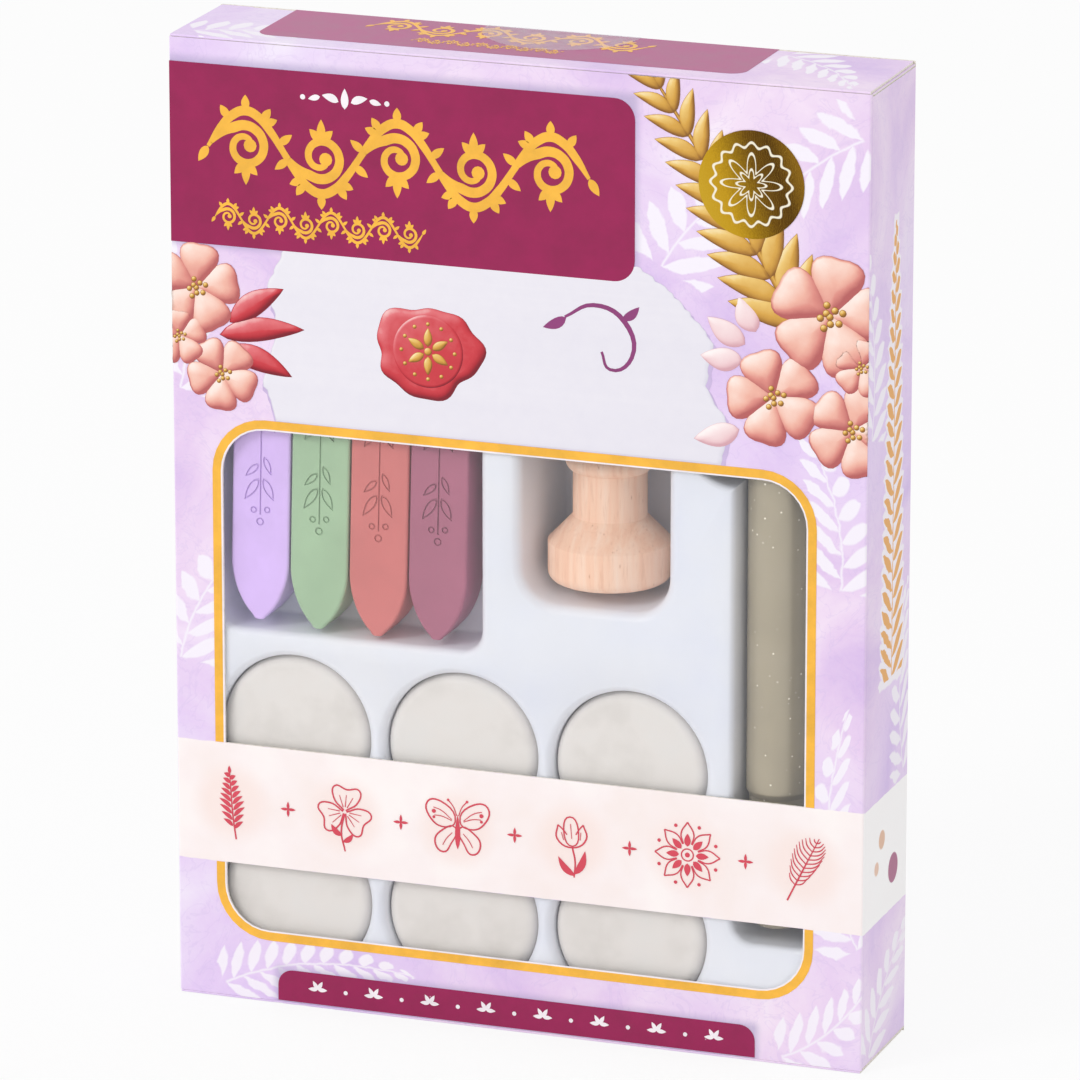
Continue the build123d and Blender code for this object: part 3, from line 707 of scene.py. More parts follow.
    fibres = add(
        tree, "ShaderNodeTexNoise", {"Vector": place, "Scale": 1000 / 0.7, "Detail": 4.0, "Roughness": 0.7}
    )
    raw = add(
        tree,
        "ShaderNodeValToRGB",
        {"Fac": fibres},
        stops=[(0.3, "#DAD2C4"), (0.5, sizes.raw), (0.7, "#F7F3EC")],
    )
    colour = add(tree, "ShaderNodeMix", {0: printed_side, 6: raw, 7: ground}, data_type="RGBA")
    rough = add(
        tree,
        "ShaderNodeMapRange",
        {"Value": printed_side, "From Min": 0.0, "From Max": 1.0, "To Min": 0.85, "To Max": 0.38},
    )
    waves = add(tree, "ShaderNodeTexNoise", {"Vector": place, "Scale": 1000 / 45, "Detail": 1.0})
    sheet = add(tree, "ShaderNodeBump", {"Strength": 0.25, "Distance": mm(1.2), "Height": waves})
    bump = add(
        tree, "ShaderNodeBump", {"Strength": 0.12, "Distance": mm(0.04), "Height": fibres, "Normal": sheet}
    )
    shader = add(
        tree,
        "ShaderNodeBsdfPrincipled",
        {"Base Color": colour, "Roughness": rough, "Normal": bump, "Specular IOR Level": 0.4},
    )
    add(tree, "ShaderNodeOutputMaterial", {"Surface": shader})
    return made


def wax(name, shade):
    """Sealing wax: dense and slightly translucent, with soft mottling, pale dust and painted shade darkening its
    pressed grooves.
    """
    made, tree = new_material(name)
    place = add(tree, "ShaderNodeTexCoord").outputs["Object"]
    cloud = add(tree, "ShaderNodeTexNoise", {"Vector": place, "Scale": 1000 / 9, "Detail": 5.0, "Roughness": 0.6})
    value = add(
        tree,
        "ShaderNodeMapRange",
        {"Value": cloud, "From Min": 0.3, "From Max": 0.7, "To Min": 0.93, "To Max": 1.06},
    )
    varied = add(tree, "ShaderNodeHueSaturation", {"Value": value, "Color": shade})
    crumbs = add(tree, "ShaderNodeTexVoronoi", {"Vector": place, "Scale": 1000 / 2.6, "Randomness": 1.0})
    near = add(
        tree,
        "ShaderNodeMapRange",
        {"Value": crumbs.outputs["Distance"], "From Min": 0.03, "From Max": 0.08, "To Min": 0.6, "To Max": 0.0},
    )
    picked = add(tree, "ShaderNodeSeparateColor", {"Color": crumbs.outputs["Color"]})
    few = add(tree, "ShaderNodeMath", {0: picked.outputs["Green"], 1: 0.86}, operation="GREATER_THAN")
    dust = add(tree, "ShaderNodeMath", {0: near, 1: few}, operation="MULTIPLY")
    dusty = add(tree, "ShaderNodeMix", {0: dust, 6: varied, 7: linear("#F6EFF6")}, data_type="RGBA")
    # painted shade: ambient occlusion darkens the pressed grooves to a darker shade of the wax
    hollows = add(tree, "ShaderNodeAmbientOcclusion", {"Distance": mm(0.5)}, samples=8)
    depth = add(
        tree,
        "ShaderNodeMapRange",
        {"Value": hollows.outputs["AO"], "From Min": 0.45, "From Max": 0.85, "To Min": 0.36, "To Max": 0.0},
    )
    deep = add(tree, "ShaderNodeHueSaturation", {"Value": 0.55, "Saturation": 1.1, "Color": shade})
    groove_shaded = add(tree, "ShaderNodeMix", {0: depth, 6: dusty, 7: deep}, data_type="RGBA")
    grain = add(tree, "ShaderNodeTexNoise", {"Vector": place, "Scale": 1000 / 1.3, "Detail": 3.0})
    bump = add(tree, "ShaderNodeBump", {"Strength": 0.15, "Distance": mm(0.08), "Height": grain})
    rough = add(
        tree,
        "ShaderNodeMapRange",
        {"Value": cloud, "From Min": 0.3, "From Max": 0.7, "To Min": 0.38, "To Max": 0.52},
    )
    shader = add(
        tree,
        "ShaderNodeBsdfPrincipled",
        {"Base Color": groove_shaded, "Roughness": rough, "Normal": bump, "Specular IOR Level": 0.35},
    )
    add(tree, "ShaderNodeOutputMaterial", {"Surface": shader})
    return made


def shaded_print(name, stops):
    """Picture ink: the shade kept with a pressed-flat model, through a ramp, with paper grain."""
    made, tree = new_material(name)
    place = add(tree, "ShaderNodeTexCoord").outputs["Object"]
    kept = add(tree, "ShaderNodeAttribute", attribute_name="shade", attribute_type="GEOMETRY")
    mottle = add(tree, "ShaderNodeTexNoise", {"Vector": place, "Scale": 1000 / 2.4, "Detail": 4.0})
    mixed = add(tree, "ShaderNodeMath", {0: mottle, 1: 0.22, 2: -0.11}, operation="MULTIPLY_ADD")
    level = add(tree, "ShaderNodeMath", {0: kept.outputs["Fac"], 1: mixed}, operation="ADD")
    colour = add(tree, "ShaderNodeValToRGB", {"Fac": level}, stops=stops)
    bump = add(tree, "ShaderNodeBump", {"Strength": 0.06, "Distance": mm(0.04), "Height": mottle})
    shader = add(
        tree,
        "ShaderNodeBsdfPrincipled",
        {"Base Color": colour, "Roughness": 0.4, "Normal": bump, "Specular IOR Level": 0.4},
    )
    add(tree, "ShaderNodeOutputMaterial", {"Surface": shader})
    return made

# --------------------------------------------------------------- the motifs


def tulip():
    cup = [(-2.6, 3.4, 0.3), (-3.0, 0.6, 0.34), (0, -1.2, 0.3), (3.0, 0.6, 0.34), (2.6, 3.4, 0.3)]
    left = [(-2.6, 3.4, 0.28), (-1.6, 2.4, 0.28), (-0.9, 1.4, 0.24)]
    right = [(2.6, 3.4, 0.28), (1.6, 2.4, 0.28), (0.9, 1.4, 0.24)]
    heart = [(0, 5.0, 0.3), (-1.5, 2.2, 0.3), (0, -0.9, 0.26), (1.5, 2.2, 0.3), (0, 5.0, 0.3)]
    stem = [(0, -1.3, 0.34), (0.3, -4.0, 0.34), (-0.2, -7.2, 0.3)]
    veins = [[(0, 3.6, 0.16), (0, 0.6, 0.16)], [(-2.0, 1.9, 0.16), (-1.7, 0.3, 0.16)], [(2.0, 1.9, 0.16), (1.7, 0.3, 0.16)]]
    leaves = [leaf(0, -6.6, 62, 5.4, 1.5, -0.5), leaf(0, -6.9, 128, 5.0, 1.4, 0.5)]
    return leaves, [cup, left, right, heart, stem, *veins]


def fern():
    leaves = []
    for n in range(9):
        y = -5.2 + n * 1.25
        size = 3.3 - abs(n - 2.5) * 0.36
        leaves += [leaf(0.15, y, 38, size, 0.85, 0.2), leaf(-0.15, y + 0.5, 142, size, 0.85, -0.2)]
    leaves.append(leaf(0, 6.0, 90, 1.6, 0.7))
    return leaves, [[(0.3, -7.4, 0.34), (0, -3.0, 0.3), (0, 6.2, 0.22)]]


def butterfly():
    strokes = []
    for s in (1, -1):
        strokes.append(
            [(s * 0.5, 1.4, 0.28), (s * 3.4, 5.2, 0.34), (s * 6.2, 4.9, 0.34), (s * 5.4, 1.4, 0.34),
             (s * 2.6, 0.1, 0.28), (s * 0.5, 1.4, 0.28)]
        )
        strokes.append(
            [(s * 0.5, 0.2, 0.28), (s * 3.2, -0.6, 0.32), (s * 4.7, -3.0, 0.34), (s * 3.0, -5.0, 0.34),
             (s * 1.4, -3.2, 0.28), (s * 0.5, 0.2, 0.28)]
        )
        strokes.append([(s * 1.2, 1.7, 0.16), (s * 3.4, 3.4, 0.2), (s * 5.0, 3.9, 0.16)])
        strokes.append([(s * 1.2, 1.5, 0.16), (s * 3.2, 2.2, 0.2), (s * 4.8, 2.3, 0.16)])
        strokes.append([(s * 1.1, -0.9, 0.16), (s * 2.3, -2.2, 0.2), (s * 3.1, -3.6, 0.16)])
        strokes.append([(s * 0.2, 2.6, 0.2), (s * 0.9, 4.4, 0.2), (s * 1.9, 5.6, 0.24)])
    spots = [disc(s * 4.9, y, r) for s in (1, -1) for y, r in ((3.1, 0.42), (1.9, 0.3))]
    spots += [disc(s * 1.95, 5.65, 0.28, 8) for s in (1, -1)]
    return [leaf(0, -4.2, 90, 7.0, 1.1), *spots], strokes


def mandala():
    petals = [leaf(1.7 * cos(a), 1.7 * sin(a), a * 180 / pi, 2.6, 1.3) for a in arc(0, 315, 7)]
    strokes = []
    for a in arc(0, 315, 7):
        tip = (6.6 * cos(a), 6.6 * sin(a), 0.28)
        sides = [(4.4 * cos(a + d), 4.4 * sin(a + d), 0.28) for d in (-0.3, 0.3)]
        foot = (2.3 * cos(a + 0.36), 2.3 * sin(a + 0.36), 0.24)
        other = (2.3 * cos(a - 0.36), 2.3 * sin(a - 0.36), 0.24)
        strokes.append([other, sides[0], tip])
        strokes.append([foot, sides[1], tip])
    dots = [disc(6.2 * cos(a), 6.2 * sin(a), 0.36, 10) for a in arc(22.5, 337.5, 7)]
    ring = [(1.2 * cos(a), 1.2 * sin(a), 0.26) for a in arc(0, 360, 12)]
    ring[-1] = ring[0]
    return [disc(0, 0, 0.5), *petals, *dots], [ring, *strokes]


def feather():
    strokes = [[(-2.8, -7.0, 0.34), (-0.6, -1.5, 0.32), (2.6, 6.4, 0.18)]]
    for n in range(11):
        t = n / 10
        x, y = -1.5 + 3.6 * t, -3.6 + 9.0 * t
        size = 2.9 * sin(pi * (0.16 + 0.8 * t)) ** 0.7
        strokes.append([(x, y, 0.22), (x - 0.55 * size, y + 0.55 * size, 0.26), (x - 0.75 * size, y + 1.25 * size, 0.14)])
        strokes.append([(x, y, 0.22), (x + 0.78 * size, y + 0.2 * size, 0.26), (x + 1.25 * size, y + 0.75 * size, 0.14)])
    return [], strokes


def clover():
    leaves, strokes = [], [[(0, 0.4, 0.34), (-0.3, -3.4, 0.34), (0.9, -7.2, 0.3)]]
    for turn in (90, 205, -25):
        c, s = cos(radians(turn)), sin(radians(turn))
        lobe = [(0.3, 0.2), (2.4, 2.5), (4.9, 2.6), (4.6, 0), (4.9, -2.6), (2.4, -2.5), (0.3, -0.2)]
        strokes.append([(a * c - b * s, 0.8 + a * s + b * c, 0.32) for a, b in lobe])
        for tilt in (-24, 0, 24):
            d = radians(turn + tilt)
            strokes.append([(1.0 * cos(d), 0.8 + 1.0 * sin(d), 0.2), (3.5 * cos(d), 0.8 + 3.5 * sin(d), 0.13)])
    leaves += [leaf(-0.2, -4.2, 140, 3.0, 1.2, 0.3), leaf(0.3, -5.4, 48, 2.8, 1.1, -0.3)]
    return leaves, strokes


def scroll_work(start, end, height, y, thick):
    """A running scroll in mm: a wavy stem, a branch that winds up in each bend, and leaves."""
    count = max(2, round((end - start) / (height * 0.95)))
    pitch, rise = (end - start) / count, height / 2

    def stem(t):
        return start + t * pitch, y + rise * sin(pi * t)

    outlines = []
    ends = (0, count * 6)
    strokes = [
        [(*stem(n / 6), thick * (0.3 if n in ends else 0.55 + 0.25 * abs(sin(pi * n / 6)))) for n in range(count * 6 + 1)]
    ]
    last = 1 if count % 2 else -1
    outlines += [leaf(*stem(0), 237, rise * 0.5, rise * 0.24), leaf(*stem(count), -57 * last, rise * 0.5, rise * 0.24)]
    for n in range(count):
        up = 1 if n % 2 == 0 else -1
        cx, cy = start + (n + 0.5) * pitch, y + up * rise * 0.06
        wind = curl(cx, cy, rise * 0.58, up * 125, -up * 1.3, thick * 0.85, thick * 0.45)
        parting = (start + (n + 0.19) * pitch, y + up * rise * 0.38, thick * 0.6)
        strokes.append([(*stem(n + 0.03), thick * 0.35), parting, *wind])
        outlines.append(disc(wind[-1][0], wind[-1][1], thick * 0.55, 12))
        for lean, size in ((0, 0.58), (46, 0.44), (-46, 0.44)):
            outlines.append(leaf(cx, cy - up * rise * 0.42, -up * (90 + lean), rise * size, rise * 0.24))
        for t, lean in ((0.27, 34), (0.5, 0), (0.73, -34)):
            x, crest = stem(n + t)
            outlines.append(leaf(x, crest + up * thick * 0.1, up * (90 + lean), rise * 0.38, rise * 0.23))
        for t, lean, size in ((-0.06, -38, 0.46), (-0.24, -22, 0.36), (1.06, 218, 0.46), (1.24, 202, 0.36)):
            if 0 < n + t < count:
                outlines.append(leaf(*stem(n + t), up * lean, rise * size, rise * 0.22))
    return outlines, strokes


# -------------------------------------------------------------- picture print


def pillow(outline, rise, crown=0.9, rings=5):
    """A crowned shape over an outline given in mm, to be pressed flat later."""
    shape = inked("pillow", [outline])
    centre = [mm(sum(p[n] for p in outline) / len(outline)) for n in (0, 1)]
    only(shape)
    bpy.ops.object.mode_set(mode="EDIT")
    select_where("FACE", lambda f: f.normal.z > 0.5)
    width = height = 0.0
    for n in range(1, rings + 1):
        a = pi / 2 * n / rings
        next_width, next_height = crown * (1 - cos(a)), rise * sin(a)
        bpy.ops.mesh.extrude_region_move(
            TRANSFORM_OT_translate={"value": (0, 0, mm(next_height - height))}
        )
        size = (1 - next_width) / (1 - width)
        bpy.ops.transform.resize(value=(size, size, 1), center_override=(*centre, 0))
        width, height = next_width, next_height
    bpy.ops.object.mode_set(mode="OBJECT")
    smooth(shape, 80)
    return shape


def pressed(name, parts, level, material, thick=0.03, light=(-0.45, 0.6, 0.66)):
    """Joins modelled shapes, keeps how they are lit in an attribute and presses them flat on the front."""
    piece = join(name, parts)
    mesh = piece.data
    shade = mesh.attributes.new("shade", "FLOAT", "POINT")
    toward = Vector(light).normalized()
    for value, normal in zip(shade.data, mesh.vertex_normals):
        value.value = max(0.0, normal.vector.dot(toward))
    heights = [v.co.z for v in mesh.vertices]
    piece.scale.z = mm(thick) / (max(heights) - min(heights))
    settle(piece)
    on_front(piece, level)
    trimmed(piece)
    return printed(piece, material)


def trimmed(piece):
    """Trims artwork that runs past the carton's edges."""
    only(piece)
    bpy.ops.object.mode_set(mode="EDIT")
    edges = (
        ((RIGHT - mm(0.15), 0, 0), (1, 0, 0)),
        ((LEFT + mm(0.15), 0, 0), (-1, 0, 0)),
        ((0, 0, BOARD_TOP - mm(0.5)), (0, 0, 1)),
    )
    for place, out in edges:
        bpy.ops.mesh.select_all(action="SELECT")
        bpy.ops.mesh.bisect(plane_co=place, plane_no=out, use_fill=True, clear_outer=True)
    bpy.ops.object.mode_set(mode="OBJECT")


def blossom(x, y, size, turn, petals=5, deep=0.0):
    """Shapes of an open flower, size mm across."""
    half = size / 2
    wide = half * 1.02
    edge = []
    for n in range(24):
        a = 2 * pi * n / 24
        t = (1 - cos(a)) / 2
        edge.append((half * t * (1.02 - 0.10 * (1 - abs(sin(a))) * (t > 0.8)), wide / 2 * sin(a) * (0.35 + 0.75 * t)))
    petal = pillow(edge, half * 0.30, 0.92)
    parts = []
    for n in range(petals):
        angle = radians(turn + 360 * n / petals)
        one = copied(petal, (0, 0, 0), radians(-16), "Y")
        one.data.transform(Matrix.Translation((mm(x), mm(y), mm(0.25 * n + deep))) @ Matrix.Rotation(angle, 4, "Z"))
        parts.append(one)
    bpy.data.objects.remove(petal)
    return parts


def dotted_heart(x, y, size, deep):
    """Shapes of the stamens in a flower's middle."""
    spots = []
    for n in range(9):
        a = 2.4 * n
        r = size * 0.5 * sqrt(n / 9)
        dot = pillow(disc(x + r * cos(a), y + r * sin(a), size * 0.13, 10), size * 0.12, 0.9, 2)
        dot.location.z = mm(deep)
        spots.append(settle(dot))
    return spots


# ------------------------------------------------------------------ operators


class WAXBOX_OT_studio(bpy.types.Operator):
    """Sets out the pale floor, the soft light and the camera"""

    bl_idname = "waxbox.studio"
    bl_label = "Studio"

    def execute(self, context):
        setting = context.scene.waxbox_studio
        bpy.ops.object.select_all(action="DESELECT")
        bpy.ops.mesh.primitive_plane_add(size=setting.floor_size, location=(0, 0, CASE_LOW.z - mm(0.05)))
        floor = bpy.context.object
        floor.name = "studio_floor"
        # matte white paper, seen plain white but for a share that takes shadow
        made, tree = new_material("floor_paper")
        rays = add(tree, "ShaderNodeLightPath")
        seen = add(
            tree,
            "ShaderNodeMath",
            {0: rays.outputs["Is Camera Ray"], 1: rays.outputs["Is Glossy Ray"]},
            operation="MAXIMUM",
        )
        seen = add(tree, "ShaderNodeMath", {0: seen, 1: rays.outputs["Is Transmission Ray"]}, operation="MAXIMUM")
        share = add(tree, "ShaderNodeMath", {0: seen, 1: 0.86}, operation="MULTIPLY")
        paper = add(tree, "ShaderNodeBsdfDiffuse", {"Color": setting.floor})
        plain = add(tree, "ShaderNodeEmission", {"Strength": 1.0})
        both = add(tree, "ShaderNodeMixShader", {0: share, 1: paper, 2: plain})
        add(tree, "ShaderNodeOutputMaterial", {"Surface": both})
        floor.data.materials.append(made)

        world = bpy.data.worlds.new("studio_light")
        context.scene.world = world
        world.use_nodes = True
        tree = world.node_tree
        tree.nodes.clear()
        rays = add(tree, "ShaderNodeLightPath")
        round_light = add(tree, "ShaderNodeBackground", {"Strength": setting.world_light})
        backdrop = add(tree, "ShaderNodeBackground", {"Strength": 1.0})
        for one in (round_light, backdrop):
            one.inputs["Color"].default_value = (1, 1, 1, 1)
        both = add(
            tree, "ShaderNodeMixShader", {0: rays.outputs["Is Camera Ray"], 1: round_light, 2: backdrop}
        )
        add(tree, "ShaderNodeOutputWorld", {"Surface": both})

        bpy.ops.object.light_add(type="AREA", location=(-1.15, -1.55, 1.35))
        lamp = bpy.context.object
        lamp.name = "soft_lamp"
        lamp.data.shape = "DISK"
        lamp.data.size = 0.75
        lamp.data.energy = setting.key_light
        lamp.rotation_euler = (Vector((0, 0, 0.09)) - lamp.location).to_track_quat("-Z", "Y").to_euler()

        # the photograph's place: a little right of the front and above
        bpy.ops.object.camera_add(
            location=(0.529, -1.4566, 0.5473), rotation=(radians(73.62), 0, radians(19.96))
        )
        camera = bpy.context.object
        camera.data.sensor_width = 36
        camera.data.lens = setting.lens * 1000
        camera.data.clip_start = 0.05
        context.scene.camera = camera
        context.scene.view_settings.view_transform = "Standard"
        return {"FINISHED"}


class WAXBOX_OT_carton(bpy.types.Operator):
    """Prints the carton's board, its lids and its flaps"""

    bl_idname = "waxbox.carton"
    bl_label = "Carton board"

    def execute(self, context):
        sizes = context.scene.waxbox_print
        peach = "#FBEAE5"
        glow = [("Y-", x, 38.5, 4.2, 5.0, peach) for x in (-56.5, -34, -11.5, 11, 33.5, 56)]
        side_spots = [("X+", 4.5, 34.5, 2.7, 0.3, "#A8577F"), ("X+", -2.4, 42.0, 1.6, 0.4, "#E2B79A"),
                      ("X+", -5.4, 37.2, 1.1, 0.4, "#E9C3AC")]
        cover(
            board(
                "printed_carton_board",
                sizes,
                [("Y", -1, 12.8), ("Y", 1, 12.8), ("X", 1, 67.3), ("X", -1, 67.3)],
                sprays=[
                    ("Y-", 28.0, 149.5, 62, 33, 10.5, 0.012),
                    ("Y-", 66.0, 176.0, 205, 34, 9.0, -0.010),
                    ("Y-", -66.0, 118.0, 74, 30, 9.5, -0.016),
                    ("Y-", -66.5, 66.0, 80, 34, 9.0, 0.014),
                    ("Y-", 66.5, 24.0, 122, 40, 8.0, 0.014),
                    ("Y-", -58.0, 3.0, 28, 36, 7.0, 0.010),
                    ("Y-", 52.0, 1.5, 22, 24, 7.5, -0.018),
                    ("Y-", 62.5, 92.0, 84, 30, 8.5, -0.012),
                    ("X+", -9.0, 2.0, 64, 30, 9.0, 0.016),
                    ("X+", -11.0, 120.0, 76, 40, 8.5, -0.012),
                    ("X+", 10.0, 52.0, 110, 34, 8.0, 0.012),
                    ("X-", 0.0, 20.0, 92, 56, 11.0, 0.006),
                    ("X-", 4.0, 96.0, 84, 60, 11.0, -0.006),
                    ("Y+", 40.0, 18.0, 118, 86, 15.0, 0.004),
                    ("Y+", -44.0, 96.0, 62, 78, 15.0, -0.005),
                ],
                gold_vine=[("X+", 2.2, 72.0, 90, 86, 7.0, 0.0)],
                band=True,
                spots=[*glow, *side_spots],
                shades=[(-67.4, 146.6, 22.4, 180.0), (-47.0, 0.0, 46.3, 6.3)],
            ),
            "carton_sleeve",
        )
        cover(
            board(
                "printed_lid_board",
                sizes,
                [("Z", 1, 150.0), ("Z", -1, -0.3), ("Y", -1, 12.6)],
                sprays=[
                    ("Z+", -64.0, -9.0, 32, 26, 8.5, 0.018),
                    ("Z+", 44.0, 9.0, -24, 26, 8.0, 0.016),
                    ("Z-", -50.0, -6.0, 12, 44, 10.0, 0.008),
                    ("Z-", 14.0, 6.0, -14, 44, 10.0, -0.008),
                ],
            ),
            "top_lid",
            "bottom_lid",
            "top_dust_flap_left",
            "top_dust_flap_right",
            "bottom_dust_flap_left",
            "bottom_dust_flap_right",
        )
        cover(
            board("printed_tuck_board", sizes, [("Y", 1, 12.2)], sprays=[("Y+", -50.0, 178.0, 8, 90, 9.0, 0.0)]),
            "top_tuck_flap",
            "bottom_tuck_flap",
        )
        return {"FINISHED"}


class WAXBOX_OT_panels(bpy.types.Operator):
    """Lays the burgundy panels, the gold window line and the ornament on the carton"""

    bl_idname = "waxbox.panels"
    bl_label = "Panels and ornament"

    def execute(self, context):
        sizes = context.scene.waxbox_print
        burgundy = ink("burgundy_ink", sizes.burgundy)
        gold = ink("gold_ink", sizes.gold, gloss=0.32, mottle=0.13)
        white = ink("white_ink", linear("#F7F1F5"))
        # painted glare: the lid's burgundy is a lighter copy of the front's, for the sheen of the varnish on the top
        burgundy_painted_glare = ink("lid_ink_painted_glare", linear("#B05585"))
        left, right = LEFT * 1000 + 0.1, RIGHT * 1000 - 0.1

        top = 180.0
        foot = top - sizes.title_height * 1000
        end = left + sizes.title_width * 1000
        panel = inked("title_panel", [rounded(left, foot, end, top, (0, 4, 4, 0))])
        printed(on_front(panel, 0.05), burgundy)

        middle_line = (left + end) / 2 - 0.6
        work = scroll_work(middle_line - 37.0, middle_line + 37.0, 14.4, 164.6, 2.3)
        small = scroll_work(-58.6, -18.0, 5.2, 151.4, 0.72)
        printed(on_front(inked("title_scroll", *work), 0.08), gold)
        printed(on_front(inked("title_small_scroll", *small), 0.08), gold)
        mid = -33.0
        crest = [leaf(mid + s * 1.2, 174.9, 90 - s * 90 + s * 18, 3.4, 1.5, s * 0.2) for s in (1, -1)]
        crest += [leaf(mid + s * 4.8, 175.6, 90 - s * 90 - s * 14, 2.4, 1.1) for s in (1, -1)]
        crest += [leaf(mid, 173.6, 90, 3.9, 1.5), disc(mid - 8.2, 175.3, 0.5), disc(mid + 8.2, 175.3, 0.5)]
        printed(on_front(inked("title_crest", crest), 0.08), white)

        # the gold line is broken where the band crosses it
        line = sizes.border_width * 1000
        x0, x1, z0, z1, corner = -59.7, 57.9, 12.2, 113.4, 10.5
        below, above = 26.75, 50.25
        inner = corner - line
        lower = rounded(x0, z0, x1, below, (corner, corner, 0, 0))
        hole = rounded(x0 + line, z0 + line, x1 - line, below, (inner, inner, 0, 0))
        upper = rounded(x0, above, x1, z1, (0, 0, corner, corner))
        gap = rounded(x0 + line, above, x1 - line, z1 - line, (0, 0, inner, inner))
        for name, outer, opening, start in (("border_lower", lower, hole, 3), ("border_upper", upper, gap, 1)):
            count = len(outer)
            first = 0 if name == "border_upper" else None
            if name == "border_lower":
                loop = [outer[-1], *outer[:-1]]
                back = [opening[-1], *opening[:-1]]
            else:
                loop = [*outer[1:], outer[0]]
                back = [*opening[1:], opening[0]]
            printed(on_front(inked(name, [loop + back[::-1]]), 0.05), gold)

        # a thin white line between the gold and the cut edge
        bare = 1.96
        for name, outer, opening in (
            (
                "bare_line_lower",
                rounded(x0 + 0.4, z0 + 0.4, x1 - 0.4, below, (corner - 0.4, corner - 0.4, 0, 0)),
                rounded(x0 + bare, z0 + bare, x1 - bare, below, (corner - bare, corner - bare, 0, 0)),
            ),
            (
                "bare_line_upper",
                rounded(x0 + 0.4, above, x1 - 0.4, z1 - 0.4, (0, 0, corner - 0.4, corner - 0.4)),
                rounded(x0 + bare, above, x1 - bare, z1 - bare, (0, 0, corner - bare, corner - bare)),
            ),
        ):
            first = -1 if name == "bare_line_lower" else 1
            loop, back = outer[first:] + outer[:first], opening[first:] + opening[:first]
            printed(on_front(inked(name, [loop + back[::-1]]), 0.025), white)

        half = sizes.label_width * 500
        label = rounded(-0.35 - half, 0.7, -0.35 + half, sizes.label_height * 1000, (0, 0, 3, 3))
        printed(on_front(inked("foot_label", [label]), 0.05), burgundy)
        marks = []
        for n in range(15):
            x = -0.35 + (n - 7) * 5.6
            if n % 2:
                marks.append(disc(x, 3.6, 0.42, 10))
            else:
                marks += [leaf(x, 3.6, turn, 1.9, 0.8) for turn in (0, 60, 120, 180)]
        printed(on_front(inked("foot_label_marks", marks), 0.08), white)

        banner = inked("lid_banner", [rounded(-52.5, -8.0, 41.5, 12.85, (3, 3, 0, 0))])
        printed(on_lid(banner, 0.03), burgundy_painted_glare, "top_lid")
        scroll = scroll_work(-34.5, 18.5, 8.6, 6.2, 1.15)
        printed(on_lid(inked("lid_scroll", *scroll), 0.06), gold, "top_lid")
        little = scroll_work(-23.5, 5.0, 3.0, -2.6, 0.38)
        printed(on_lid(inked("lid_small_scroll", *little), 0.06), gold, "top_lid")
        return {"FINISHED"}


class WAXBOX_OT_motifs(bpy.types.Operator):
    """Draws the red line motifs along the band"""

    bl_idname = "waxbox.motifs"
    bl_label = "Band motifs"

    def execute(self, context):
        sizes = context.scene.waxbox_print
        red = ink("motif_ink", sizes.motif_ink, mottle=0.06)
        size = sizes.motif_height * 1000 / 14.6
        drawings = [fern(), clover(), butterfly(), tulip(), mandala(), feather()]
        outlines, strokes = [], []
        for n, art in enumerate(drawings):
            a, b = shifted(art, -56.5 + n * 22.5, 38.5, size, (4, -6, 0, 5, 0, -4)[n])
            outlines += a
            strokes += b
        for n in range(5):
            x = -45.25 + n * 22.5
            outlines += [leaf(x, 38.5, turn, 1.5, 0.55) for turn in (0, 90, 180, 270)]
        printed(on_front(inked("band_motifs", outlines, strokes), 0.06), red)
        return {"FINISHED"}

